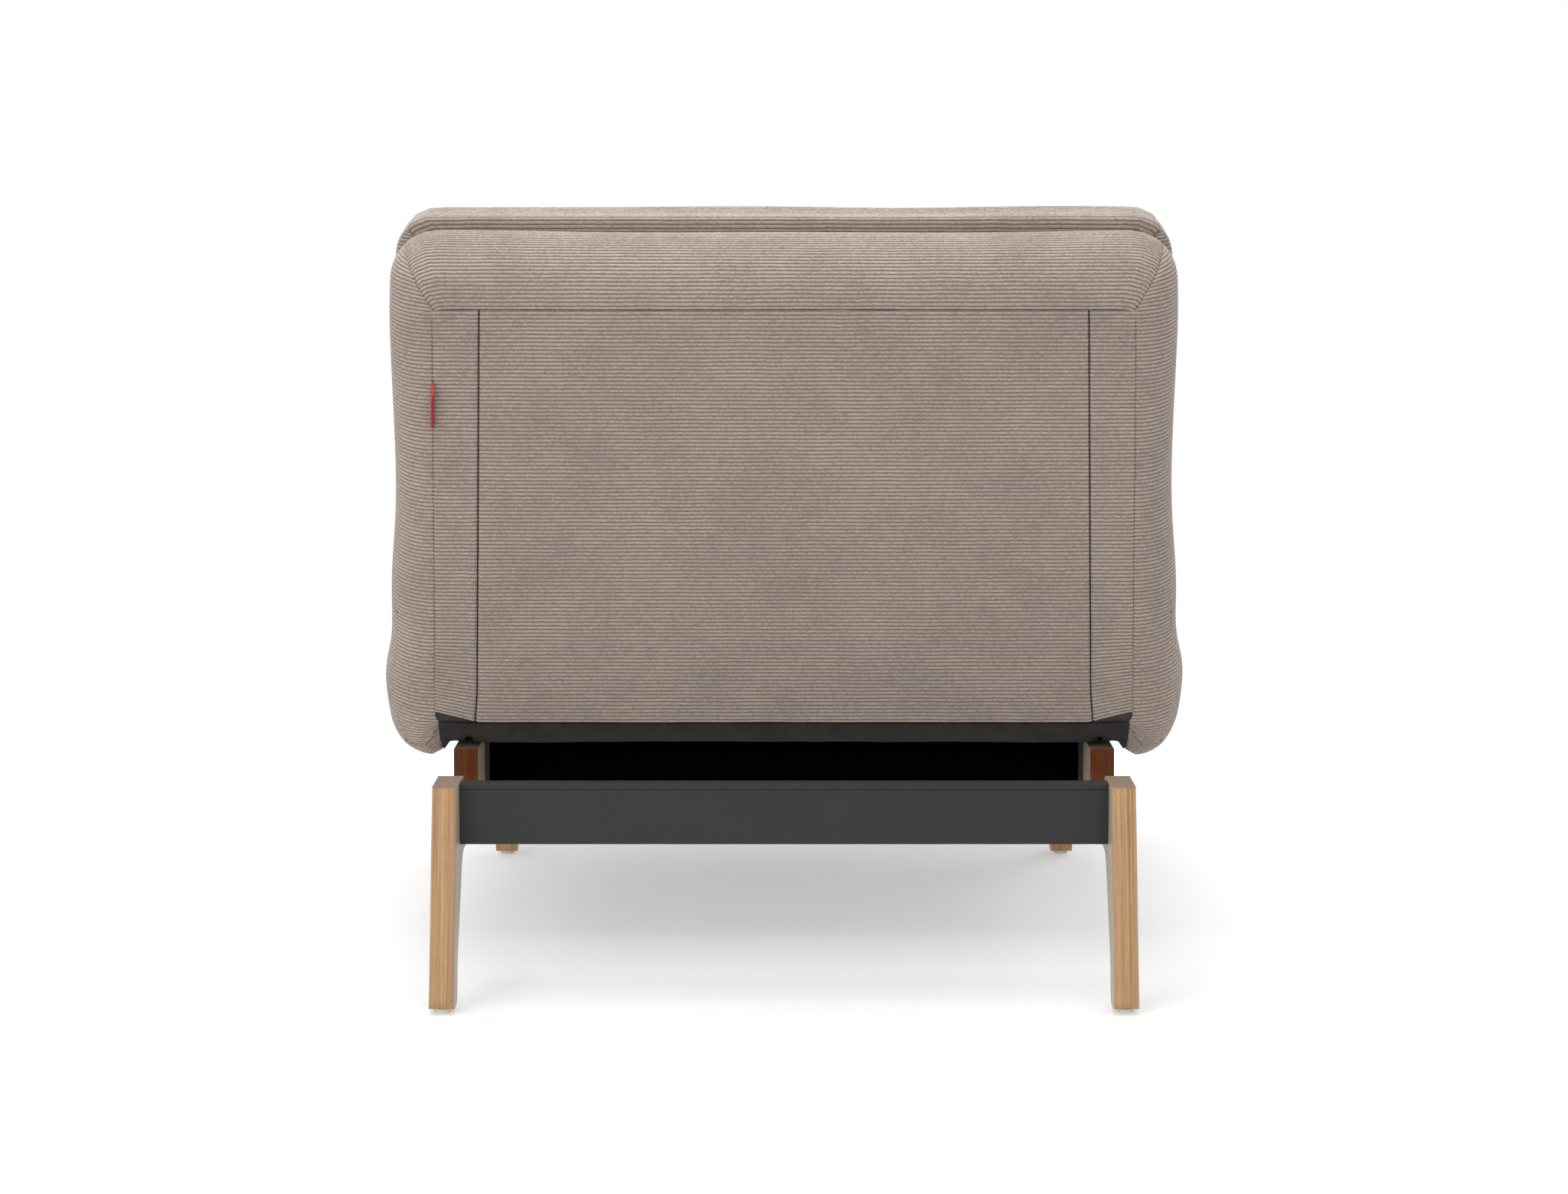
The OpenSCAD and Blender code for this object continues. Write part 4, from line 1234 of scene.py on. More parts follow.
def apply_group(piece, group, values):
    """Runs a node group on a piece and keeps the result as a plain mesh."""
    modifier = piece.modifiers.new(group.name, "NODES")
    modifier.node_group = group
    for item in group.interface.items_tree:
        if item.in_out == "INPUT" and item.name in values:
            modifier[item.identifier] = values[item.name]
    view_layer = bpy.context.evaluated_depsgraph_get()
    finished = bpy.data.meshes.new_from_object(piece.evaluated_get(view_layer))
    piece.modifiers.remove(modifier)
    old = piece.data
    name = old.name
    piece.data = finished
    bpy.data.meshes.remove(old)
    finished.name = name
    return piece


def rib_group():
    """Presses evenly spaced grooves into a cloth along its normals."""
    found = bpy.data.node_groups.get("Cloth ribs")
    if found:
        return found
    group, tree = new_node_group("Cloth ribs", [
        ("Pitch", "NodeSocketFloat", 0.0045), ("Depth", "NodeSocketFloat", 0.0009),
        ("Groove share", "NodeSocketFloat", 0.34), ("Material", "NodeSocketMaterial", None),
    ])
    given = tree.node("NodeGroupInput")
    across = tree.node(
        "GeometryNodeInputNamedAttribute", {"data_type": "FLOAT"}, {"Name": "across"}
    )["Attribute"]
    pile = tree.node(
        "GeometryNodeInputNamedAttribute", {"data_type": "FLOAT"}, {"Name": "pile"}
    )["Attribute"]
    part = (across / given["Pitch"]).fraction()
    to_groove = part.minimum(1.0 - part)
    groove = to_groove.ramp(0.0, given["Groove share"], 1.0, 0.0)
    sink = groove * pile * given["Depth"] * -1.0
    normal = tree.node("GeometryNodeInputNormal")["Normal"]
    offset = tree.node("ShaderNodeVectorMath", {"operation": "SCALE"}, {0: normal, "Scale": sink})
    moved = tree.node(
        "GeometryNodeSetPosition", None, {"Geometry": given["Geometry"], "Offset": offset[0]}
    )
    real = tree.node("GeometryNodeRealizeInstances", None, {"Geometry": moved["Geometry"]})
    painted = tree.node(
        "GeometryNodeSetMaterial", None,
        {"Geometry": real["Geometry"], "Material": given["Material"]},
    )
    tree.node("NodeGroupOutput", None, {"Geometry": painted["Geometry"]})
    return group


def press_ribs(piece, cloth, material):
    apply_group(piece, rib_group(), {
        "Pitch": cloth.rib_pitch, "Depth": cloth.rib_depth, "Material": material,
    })
    for key in ("pile", "across"):
        attribute = piece.data.attributes.get(key)
        if attribute:
            piece.data.attributes.remove(attribute)
    return piece


def stitch_group():
    """Lays short threads end to end along a line of edges."""
    found = bpy.data.node_groups.get("Stitch row")
    if found:
        return found
    group, tree = new_node_group("Stitch row", [
        ("Stitch", "NodeSocketFloat", 0.005), ("Gap", "NodeSocketFloat", 0.0025),
        ("Radius", "NodeSocketFloat", 0.00045), ("Material", "NodeSocketMaterial", None),
    ])
    given = tree.node("NodeGroupInput")
    path = tree.node("GeometryNodeMeshToCurve", None, {"Mesh": given["Geometry"]})["Curve"]
    spaced = tree.node(
        "GeometryNodeResampleCurve", {"mode": "LENGTH"},
        {"Curve": path, "Length": given["Stitch"] + given["Gap"]},
    )["Curve"]
    tangent = tree.node("GeometryNodeInputTangent")["Tangent"]
    turn = tree.node(
        "FunctionNodeAlignRotationToVector", {"axis": "Z"}, {"Vector": tangent}
    )["Rotation"]
    ball = tree.node(
        "GeometryNodeMeshUVSphere", None, {"Segments": 6, "Rings": 5, "Radius": 1.0}
    )["Mesh"]
    size = tree.vector(given["Radius"], given["Radius"], given["Stitch"] * 0.5)
    placed = tree.node(
        "GeometryNodeInstanceOnPoints", None,
        {"Points": spaced, "Instance": ball, "Rotation": turn, "Scale": size},
    )["Instances"]
    real = tree.node("GeometryNodeRealizeInstances", None, {"Geometry": placed})
    painted = tree.node(
        "GeometryNodeSetMaterial", None,
        {"Geometry": real["Geometry"], "Material": given["Material"]},
    )
    tree.node("NodeGroupOutput", None, {"Geometry": painted["Geometry"]})
    return group


def stitch_row(name, lines, stitch, material):
    """Sews along lines of points, each an array in metres."""
    points = np.concatenate(lines)
    edges = []
    start = 0
    for line in lines:
        edges.extend((start + i, start + i + 1) for i in range(len(line) - 1))
        start += len(line)
    mesh = bpy.data.meshes.new(name)
    mesh.from_pydata(points.tolist(), edges, [])
    row = bpy.data.objects.new(name, mesh)
    bpy.context.scene.collection.objects.link(row)
    apply_group(row, stitch_group(), {
        "Stitch": stitch.length, "Gap": stitch.gap, "Radius": stitch.radius, "Material": material,
    })
    row.data.polygons.foreach_set("use_smooth", [True] * len(row.data.polygons))
    return row


# Pieces


LINING_BLACK = (0.027, 0.024, 0.0235)
TICKING_BROWN = (0.05, 0.042, 0.037)
THREAD_BROWN = (0.12, 0.095, 0.08)

# Distances between a cut's columns in millimetres: the wide pieces, the rounded edges, the
# borders that bulge, the strips beside the zips, and the cushions' faces
PANEL_STEP = 26.0
ROUND_STEP = 16.0
BORDER_STEP = 7.0
STRIP_STEP = 6.0
FACE_STEP = 24.0


def material_named(name, maker, *args):
    """The material of that name, made if there is none yet."""
    return bpy.data.materials.get(name) or maker(*args)


def cloth_material():
    return material_named("ribbed_cloth", corduroy, bpy.context.scene.armchair_cloth)


def black_lining():
    return material_named("bonded_lining", lining_cloth, "bonded_lining", LINING_BLACK)


def dress(piece, body, nodes=()):
    """Lets a piece ride on its body and stand for CAD nodes."""
    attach(piece, body)
    if nodes:
        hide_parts(*nodes)
    return piece


def lofted(name, rings, low_tip, high_tip, material):
    """A closed skin over a stack of equal rings."""
    count = len(rings[0])
    points = np.concatenate([*rings, [low_tip], [high_tip]])
    faces = band_faces(len(rings), count)
    low, high = len(points) - 2, len(points) - 1
    last = (len(rings) - 1) * count
    faces += [[low, j, (j + 1) % count] for j in range(count)]
    faces += [[high, last + (j + 1) % count, last + j] for j in range(count)]
    made = make_object(name, points, faces, material=material)
    edit = bmesh.new()
    edit.from_mesh(made.data)
    bmesh.ops.recalc_face_normals(edit, faces=edit.faces)
    edit.to_mesh(made.data)
    edit.free()
    return made


# The two long zips: their lines run together upwards and flick out at the hem
ZIP_X = 356.5
ZIP_TAPER = 17.0
ZIP_FLICK = 2.0
ZIP_FLICK_W = -17.0
ZIP_FLICK_REACH = 25.0
ZIP_HALF = 0.7

# The hem rises from here outwards, and lifts the cloth above it up to a height
HEM_X = 354.0
HEM_RISE = 13.0
HEM_REACH = 49.0
HEM_FADE = 130.0
HEM_CURVE = 1.4

# The rear panel's crown: its rise, the height of its middle and its two half sizes
REAR_CROWN = 2.4
CROWN_W = 231.0
CROWN_HALF_X = 405.0
CROWN_HALF_W = 249.0
CROWN_FULLNESS = 0.6

# The pucker beside a zip: its length along the zip, its place and width beside it, in
# millimetres, and its least and further height in metres
PUCKER_LENGTH = 11.0
PUCKER_FROM_ZIP = 4.5
PUCKER_REACH = 2.6
PUCKER_LEAST = 0.0005
PUCKER_MORE = 0.0004


def zip_x(w):
    """Where the long zip runs, at a height on the rear panel."""
    flick = ZIP_FLICK * bell((w - ZIP_FLICK_W) / ZIP_FLICK_REACH)
    return ZIP_X - ZIP_TAPER * (w / PANEL_TOP) + flick


def inside_zip(w):
    return zip_x(w) - ZIP_HALF


def outside_zip(w):
    return zip_x(w) + ZIP_HALF


def seam_x(w):
    """Where the panel's outer seam runs, at a height on it."""
    return SEAM_X + SEAM_TAPER * (0.5 - w / PANEL_TOP)


def hem_w(x):
    """Height of the rear panel's hem, which rises towards its outer corners."""
    return PANEL_LOW + HEM_RISE * np.clip((np.abs(x) - HEM_X) / HEM_REACH, 0, 1)


def rear_crown(x, w):
    """How far the rear panel stands out behind its seams."""
    across = np.clip(1 - (x / CROWN_HALF_X) ** 2, 0, 1)
    up = np.clip(1 - ((w - CROWN_W) / CROWN_HALF_W) ** 2, 0, 1)
    return REAR_CROWN * across**CROWN_FULLNESS * up**CROWN_FULLNESS


def rear_cut(left_of, right_of, cloth, step, seed):
    """A cut of the rear panel between two lines that depend on the height."""
    pitch = cloth.rib_pitch / MM
    count = round((PANEL_TOP - PANEL_LOW) / pitch * ROWS_PER_RIB)
    w = np.linspace(PANEL_LOW, PANEL_TOP, count + 1)[:, None]
    width = float(right_of(MIDDLE_W) - left_of(MIDDLE_W))
    part = graded(width, step)[None, :] / width
    x = left_of(w) * (1 - part) + right_of(w) * part
    lift = hem_w(x) - PANEL_LOW
    rise = lift * np.clip(1 - (w - PANEL_LOW) / HEM_FADE, 0, 1) ** HEM_CURVE
    n = CASING_REAR - rear_crown(x, w)
    points = np.stack((x, np.broadcast_to(n, x.shape), w + rise), -1)
    across = np.broadcast_to(w - PANEL_LOW, x.shape)
    along = np.broadcast_to(part * width, x.shape)
    in_the_middle = np.array((0.0, 0.0, 0.45))
    cut = Cut(back_place(points), across, along, in_the_middle)
    return cut.push(wavy(cut.points, seed, PANEL_WAVES))


class ARMCHAIR_OT_rear_panel(bpy.types.Operator):
    """Make the rear panel and the two strips beside its long zips"""

    bl_idname = "armchair.rear_panel"
    bl_label = "Rear panel"

    def execute(self, context):
        cloth = context.scene.armchair_cloth
        material = cloth_material()
        middle = rear_cut(lambda w: -inside_zip(w), inside_zip, cloth, PANEL_STEP, seed=11)
        sew(middle, cloth, {"start": 0.6, "end": 0.55}, PANEL_SEAM)
        sew(middle, cloth, {"left": 0.75, "right": 0.75}, ZIP_SEAM)
        panel = cloth_piece("rear_panel", middle, cloth, material)
        dress(panel, "backrest", ("back_casing", "back_core"))
        for side, label in ((1, "left"), (-1, "right")):
            if side > 0:
                strip = rear_cut(outside_zip, seam_x, cloth, STRIP_STEP, seed=12)
                zipped, sewn = "left", "right"
            else:
                strip = rear_cut(
                    lambda w: -seam_x(w), lambda w: -outside_zip(w), cloth, STRIP_STEP, seed=13
                )
                zipped, sewn = "right", "left"
            gap = strip.along if side > 0 else strip.along.max() - strip.along
            pucker = 0.5 + 0.5 * np.sin(strip.across * 2 * math.pi / PUCKER_LENGTH)
            height = PUCKER_LEAST + PUCKER_MORE * pucker
            strip.push(bell((gap - PUCKER_FROM_ZIP) / PUCKER_REACH) * height)
            sew(strip, cloth, {"start": 0.6, "end": 0.55, sewn: 0.45}, PANEL_SEAM)
            sew(strip, cloth, {zipped: 0.8}, ZIP_SEAM)
            piece = cloth_piece("rear_strip_" + label, strip, cloth, material)
            dress(piece, "backrest", ("back_casing",))
        return {"FINISHED"}


BACK_CENTRE = tuple(back_place(np.array((0.0, 10.0, MIDDLE_W))))
PAD_CENTRE = tuple(back_place(np.array((0.0, 75.0, MIDDLE_W))))

# Where the side borders end on the underside, at the lining
LOW_CORNER_X = 402.0

# Slack cloth low on a side border: how far below halfway it begins, over what height it comes
# in, and over what depth from the rear seam
SLACK_BELOW = 110.0
SLACK_FADE = 90.0
SLACK_DEPTH = 50.0


class ARMCHAIR_OT_casing_borders(bpy.types.Operator):
    """Make the borders that round forward from the rear panel, and the filling under them"""

    bl_idname = "armchair.casing_borders"
    bl_label = "Casing borders"

    def execute(self, context):
        cloth = context.scene.armchair_cloth
        seed = context.scene.armchair_studio.seed
        material = cloth_material()
        top = cut_from_net(casing_net(top_run), back_place, BACK_CENTRE, cloth, ROUND_STEP)
        top.push(wavy(top.points, seed, TOP_WAVES))
        sew(top, cloth, {"start": 0.55, "end": 0.6, "left": 0.6, "right": 0.6}, CASING_SEAM)
        piece = cloth_piece("top_border", top, cloth, material)
        dress(piece, "backrest", ("back_casing",))
        for side, label in ((1, "left"), (-1, "right")):
            cut = side_cut(
                casing_half, CASING_STEPS - 1, back_place, BACK_CENTRE, cloth, BORDER_STEP, side,
                LOW_CORNER_X,
            )
            low = np.clip((cut.across - SLACK_BELOW) / SLACK_FADE, 0, 1)
            low = low * np.clip(cut.along / SLACK_DEPTH, 0, 1)
            slack = wavy(cut.points, seed + 1 + side, SIDE_SLACK_WAVES) * low
            cut.push(wavy(cut.points, seed + 5 + side, SIDE_WAVES) + slack)
            sew(cut, cloth, {"start": 0.6, "end": 0.7, "left": 0.45, "right": 0.5}, CASING_SEAM)
            piece = cloth_piece("side_border_" + label, cut, cloth, material)
            dress(piece, "backrest", ("back_casing",))
        filling(context)
        return {"FINISHED"}


# How far the wadded inner covers lie inside the cloth
FILL_INSET = 3.4

# The casing's filling in n: its rear edge, the two rings of its rear face with their scale, and
# the middles of its rear and its front face
REAR_FILL_N = -52.4
REAR_FILL_RINGS = ((-53.6, 0.7), (REAR_FILL_N, 1.0))
REAR_FILL_TIP_N = -54.0
FRONT_FILL_N = 33.0
CASING_FILL_SHARE = (FRONT_FILL_N - REAR_FILL_N) / (CORNER_DEPTH + STRIP_DEPTH)

# How thick the pad's and the seat's fillings are as a share of their covers, how far the pad's
# middle reaches, and the gaps under and over the seat's
PAD_FILL_SHARE = 0.92
PAD_FILL_DEPTH = 76.0
SEAT_FILL_SHARE = 0.965
SEAT_FILL_LOW = 0.6
SEAT_FILL_TOP_GAP = 3.0


def filling(context):
    """The wadded inner covers that close the casing, the pad and the seat under the cloth."""
    ticking = material_named("ticking", lining_cloth, "ticking", TICKING_BROWN)
    rings = []
    ring = casing_ring(0, FILL_INSET)[2]
    for n, scale in REAR_FILL_RINGS:
        points = on_ring(whole_run(ring), n, 1.0)
        points[:, 0] *= scale
        points[:, 2] = MIDDLE_W + (points[:, 2] - MIDDLE_W) * scale
        rings.append(back_place(points))
    for step in range(1, CASING_STEPS):
        n, rounding, ring = casing_ring(step, FILL_INSET)
        n = REAR_FILL_N + (n - CASING_REAR) * CASING_FILL_SHARE
        rings.append(back_place(on_ring(whole_run(ring), n, rounding)))
    tips = back_place(np.array((
        (0.0, REAR_FILL_TIP_N, MIDDLE_W), (0.0, FRONT_FILL_N, MIDDLE_W),
    )))
    inner = lofted("casing_filling", rings, tips[0], tips[1], ticking)
    dress(inner, "backrest", ("back_core",))
    rear_n = PAD_REAR + FILL_INSET
    rings = []
    for level in PAD_PROFILE:
        n, ring = pad_ring(level, FILL_INSET)
        n = rear_n + (n - PAD_REAR) * PAD_FILL_SHARE
        rings.append(back_place(on_ring(whole_run(ring), n, 0.0, PAD_BULGE, 0.0)))
    tips = back_place(np.array((
        (0.0, rear_n, MIDDLE_W), (0.0, PAD_REAR + PAD_FILL_DEPTH, MIDDLE_W),
    )))
    inner = lofted("pad_filling", rings, tips[0], tips[1], ticking)
    dress(inner, "backrest", ("pad_core",))
    low_z = SEAT_Z + SEAT_FILL_LOW
    rings = []
    for level in SEAT_PROFILE:
        z, ring = seat_ring(level, FILL_INSET)
        points = whole_run(ring)
        z = low_z + (z - SEAT_Z) * SEAT_FILL_SHARE
        rings.append(seat_place(np.column_stack((points, np.full(len(points), z)))))
    mid_y = REAR_Y - (SEAT_REAR_U + SEAT_FRONT_U) / 2
    tips = seat_place(np.array((
        (0.0, mid_y, low_z), (0.0, mid_y, SEAT_Z + SEAT_H - SEAT_FILL_TOP_GAP),
    )))
    inner = lofted("seat_filling", rings, tips[0], tips[1], ticking)
    dress(inner, "base", ("seat_core",))


# The lining under the backrest: its half width, its columns and rows, how far short of the
# border's ends it stops, how far below the casing's underside it lies, and how it rises to its
# corners
LINING_HALF = 401.0
LINING_COLUMNS = 121
LINING_ROWS = 60
LINING_SHORT = 1.0
LINING_GAP = 0.4
LINING_CURVE = 1.15

# Its slack, and from where outwards and over what width it comes in
LINING_SLACK = 1.6
SLACK_X = 150.0
SLACK_REACH = 200.0

# Its ripples, each with a height, a length and a start, their half width, and the steps from
# the rear over which they come in
RIPPLES = ((0.45, 61.0, 0.7), (0.35, 34.0, 2.0))
RIPPLE_HALF = 395.0
RIPPLE_STEPS = 8.0
RIPPLE_SHARE = 0.8

# The crease beside each hinge bracket, which runs outwards to the rear
CREASE_X = 371.0
CREASE_SLANT = 0.11
CREASE_REACH = 1.1
CREASE_DEPTH = 0.0012


def lining_row(step, columns):
    """A row of the lining at a step along the casing's border, as x, n and w."""
    n, rounding, ring = casing_ring(step)
    path = on_ring(half_ring(ring), n, rounding)[LOW_START:]
    end_w = float(np.interp(LOW_CORNER_X, path[:, 0][::-1], path[:, 2][::-1]))
    end_w += droop_at(LOW_CORNER_X) * (1 - rounding)
    away = np.abs(columns)
    outer = np.clip((away - HEM_X) / (LINING_HALF - HEM_X), 0, 1)
    lift = (end_w - ring.low) * outer**LINING_CURVE
    lift -= droop_at(columns) * (1 - rounding)
    slack = LINING_SLACK * np.clip((away - SLACK_X) / SLACK_REACH, 0, 1) * (1 - rounding)
    sag = sum(height * np.sin(columns / length + start) for height, length, start in RIPPLES)
    coming_in = math.sin(min(1.0, step / RIPPLE_STEPS) * math.pi / 2)
    sag *= np.clip(1 - (away / RIPPLE_HALF) ** 4, 0, 1) * coming_in
    w = ring.low - LINING_GAP - slack + lift - RIPPLE_SHARE * np.abs(sag)
    return np.stack((columns, np.full(len(columns), n), w), -1)


class ARMCHAIR_OT_back_lining(bpy.types.Operator):
    """Stretch the black lining under the backrest"""

    bl_idname = "armchair.back_lining"
    bl_label = "Backrest lining"

    def execute(self, context):
        cloth = context.scene.armchair_cloth
        slot_edges = np.array(NECK_SLOT)
        columns = np.union1d(
            np.linspace(-LINING_HALF, LINING_HALF, LINING_COLUMNS),
            np.concatenate((-slot_edges, slot_edges)),
        )
        net = np.array([lining_row(step, columns) for step in range(CASING_STEPS)])
        marks = marks_along(net, 0)
        at = np.linspace(LINING_SHORT, marks[-1] - LINING_SHORT, LINING_ROWS)
        grid = sampled(net, 0, at, marks)
        along = np.broadcast_to(columns[None, :], grid.shape[:2])
        across = np.broadcast_to(at[:, None], grid.shape[:2])
        cut = Cut(back_place(grid), across, along, np.array(BACK_CENTRE))
        between = np.abs(columns[1:] + columns[:-1]) / 2
        in_slot = (between > NECK_SLOT[0]) & (between < NECK_SLOT[1])
        cut.slot = (grid[:-1, 0, 1] > NECK_SLOT_START)[:, None] & in_slot[None, :]
        crease = bell((np.abs(cut.along) - CREASE_X + cut.across * CREASE_SLANT) / CREASE_REACH)
        cut.push(wavy(cut.points, 31, LINING_WAVES) - CREASE_DEPTH * crease)
        piece = cloth_piece("backrest_lining", cut, cloth, black_lining(), ribs=False)
        dress(piece, "backrest", ("back_lining",))
        float(marks[-1]) * MM
        return {"FINISHED"}


# How a face's crown rises inwards from its seam: distances from the seam, and where the face
# lies at each, as n on the pad and as a height above its underside on the seat
PAD_CROWN = (0, 6, 20, 50, 100, 200), (109.4, 111.0, 113.2, 116.0, 118.6, 120.0)
SEAT_CROWN = (0, 6, 20, 50, 110, 240), (146.0, 147.6, 149.4, 152.3, 155.6, 157.6)

# The crown keeps to the seam up to here, and is softened along the lines from its corners
EDGE_BAND = 40
RIDGE_DROP = 18.0
RIDGE_REACH = 40.0


def face_cut(ring, crown, place, cloth, step, centre):
    """The crowned face of a cushion inside its seam, with ribs straight across."""
    half, low, high, r_low, r_high = ring[:5]
    pitch = cloth.rib_pitch / MM
    count = round((high - low) / pitch * ROWS_PER_RIB)
    up = np.linspace(low, high, count + 1)
    reach = np.full(len(up), half)
    near_low = up < low + r_low
    reach[near_low] = half - r_low + np.sqrt(
        np.maximum(0.0, r_low**2 - (low + r_low - up[near_low]) ** 2)
    )
    near_high = up > high - r_high
    reach[near_high] = half - r_high + np.sqrt(
        np.maximum(0.0, r_high**2 - (up[near_high] - high + r_high) ** 2)
    )
    width = 2 * half
    part = graded(width, step)[None, :] / width * 2 - 1
    x = part * reach[:, None]
    y = np.broadcast_to(up[:, None], x.shape)
    edge_x = (1 - np.abs(part)) * half
    edge_y = np.minimum(y - low, high - y)
    edge = np.minimum(edge_x, edge_y)
    soft = edge - RIDGE_DROP * np.exp(-np.abs(edge_x - edge_y) / RIDGE_REACH)
    rise = np.interp(np.maximum(np.where(edge < EDGE_BAND, edge, soft), 0.0), *crown)
    return Cut(place(x, y, rise), y - low, x + half, np.array(centre)), edge


def tuck_in(cut, edge, cloth):
    """Turns a face in all round, by each point's distance from its seam."""
    return cut.push(-cloth.seam_depth * bull(np.clip(1 - edge / DEEP_SEAM, 0, 1)))


# Slack cloth on a side of the pad: how far below halfway it begins and comes in, in
# millimetres, and the length and half the depth of its hollows in metres
PAD_SLACK_BELOW = 60.0
PAD_SLACK_FADE = 150.0
PAD_SLACK_SIZE = 0.08
PAD_SLACK = 0.0012


class ARMCHAIR_OT_front_pad(bpy.types.Operator):
    """Make the pad on the front of the backrest"""

    bl_idname = "armchair.front_pad"
    bl_label = "Front pad"

    def execute(self, context):
        cloth = context.scene.armchair_cloth
        seed = context.scene.armchair_studio.seed + 20
        material = cloth_material()
        for name, run in (("pad_top", top_run), ("pad_bottom", bottom_run)):
            cut = cut_from_net(pad_net(run), back_place, PAD_CENTRE, cloth, ROUND_STEP)
            cut.push(wavy(cut.points, seed, PAD_WAVES))
            sew(cut, cloth, {"start": 0.5, "end": 1.0, "left": 0.9, "right": 0.9})
            piece = cloth_piece(name, cut, cloth, material)
            dress(piece, "backrest", ("pad_cover",))
        for side, label in ((1, "left"), (-1, "right")):
            cut = side_cut(
                pad_half, len(PAD_PROFILE) - 1, back_place, PAD_CENTRE, cloth, BORDER_STEP, side
            )
            low = np.clip((cut.across - PAD_SLACK_BELOW) / PAD_SLACK_FADE, 0, 1)
            slack = (uneven(cut.points, seed + 3 + side, PAD_SLACK_SIZE) - 1.0) * PAD_SLACK * low
            cut.push(wavy(cut.points, seed + 8 + side, SIDE_WAVES) + slack)
            sew(cut, cloth, {"start": 0.9, "end": 0.9, "left": 0.5, "right": 1.0})
            piece = cloth_piece("pad_side_" + label, cut, cloth, material)
            dress(piece, "backrest", ("pad_cover",))
        ring = pad_ring(PAD_PROFILE[-1])[1]

        def place(x, w, n):
            bulge = bulge_at(w, PAD_BULGE) * side_share(x)
            return back_place(np.stack((x + np.sign(x) * bulge, n, w), -1))

        cut, edge = face_cut(ring, PAD_CROWN, place, cloth, FACE_STEP, PAD_CENTRE)
        cut.push(wavy(cut.points, seed + 11, PAD_FACE_WAVES) * np.clip(edge / EDGE_BAND, 0, 1))
        tuck_in(cut, edge, cloth)
        piece = cloth_piece("pad_face", cut, cloth, material)
        dress(piece, "backrest", ("pad_cover",))
        return {"FINISHED"}


# The short seams at the seat's corners: how far they draw in, and over how many columns
CORNER_SEAM_DEPTH = 0.0022
CORNER_SEAM_REACH = 0.7

# How far in from its seam the seat's face has its full unevenness
SEAT_CALM = 60.0


class ARMCHAIR_OT_seat_cushion(bpy.types.Operator):
    """Make the seat cushion's cover"""

    bl_idname = "armchair.seat_cushion"
    bl_label = "Seat cushion"

    def execute(self, context):
        cloth = context.scene.armchair_cloth
        seed = context.scene.armchair_studio.seed + 40
        material = cloth_material()
        mid_y = REAR_Y - (SEAT_REAR_U + SEAT_FRONT_U) / 2
        centre = (0.0, mid_y * MM, (SEAT_Z + SEAT_H / 2) * MM)
        rows = []
        for level in SEAT_PROFILE:
            z, ring = seat_ring(level)
            points = whole_run(ring)
            rows.append(np.column_stack((points, np.full(len(points), z))))
        cut = cut_from_net(np.array(rows), seat_place, centre, cloth)
        cut.push(wavy(cut.points, seed, SEAT_WAVES))
        strides = (0, RING_CORNER + RING_EDGE, RING_CORNER + RING_SIDE, RING_CORNER + RING_EDGE)
        columns = np.arange(cut.points.shape[1])
        for corner in RING_SIDE // 2 + RING_CORNER / 2 + np.cumsum(strides):
            seam = -CORNER_SEAM_DEPTH * bell((columns - corner) / CORNER_SEAM_REACH)
            cut.push(np.broadcast_to(seam[None, :], cut.across.shape))
        sew(cut, cloth, {"start": 0.6, "end": 1.0})
        piece = cloth_piece("seat_border", cut, cloth, material)
        dress(piece, "base", ("seat_cover",))
        ring = seat_ring(SEAT_PROFILE[-1])[1]

        def place(x, y, height):
            return np.stack((x, y, SEAT_Z + height), -1) * MM

        cut, edge = face_cut(ring, SEAT_CROWN, place, cloth, FACE_STEP, centre)
        calm = np.clip(edge / SEAT_CALM, 0, 1)
        cut.push(wavy(cut.points, seed + 3, SEAT_FACE_WAVES) * calm)
        tuck_in(cut, edge, cloth)
        piece = cloth_piece("seat_face", cut, cloth, material)
        dress(piece, "base", ("seat_cover",))
        return {"FINISHED"}


# The lining under the seat in metres: its thickness, how far above its node's underside it is
# held, how far it rises within its edge, and how wide that edge is; and its rows and columns
SEAT_LINING_THICKNESS = 0.0006
SEAT_LINING_LIFT = 0.0002
SEAT_LINING_RISE = 0.0012
SEAT_LINING_EDGE = 0.06
SEAT_LINING_GRID = (50, 60)


class ARMCHAIR_OT_seat_lining(bpy.types.Operator):
    """Stretch the black lining under the seat"""

    bl_idname = "armchair.seat_lining"
    bl_label = "Seat lining"

    def execute(self, context):
        cloth = context.scene.armchair_cloth
        low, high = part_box("seat_lining")
        rows, columns = SEAT_LINING_GRID
        x = np.linspace(low[0], high[0], columns)[None, :]
        y = np.linspace(low[1], high[1], rows)[:, None]
        points = np.stack((
            np.broadcast_to(x, SEAT_LINING_GRID), np.broadcast_to(y, SEAT_LINING_GRID),
            np.full(SEAT_LINING_GRID, low[2] + SEAT_LINING_LIFT),
        ), -1)
        above = np.array((0.0, 0.0, 1.0))
        cut = Cut(points, points[..., 1] / MM, points[..., 0] / MM, above)
        inside = np.minimum(np.minimum(x - low[0], high[0] - x), np.minimum(y - low[1], high[1] - y))
        share = np.clip(inside / SEAT_LINING_EDGE, 0, 1)
        cut.push(SEAT_LINING_RISE * share * (1 + 0.4 * uneven(points, 9, 0.2)))
        piece = cloth_piece(
            "seat_dust_cloth", cut, cloth, black_lining(), ribs=False,
            thickness=SEAT_LINING_THICKNESS,
        )
        dress(piece, "base", ("seat_lining",))
        high[0] - low[0]
        high[1] - low[1]
        return {"FINISHED"}


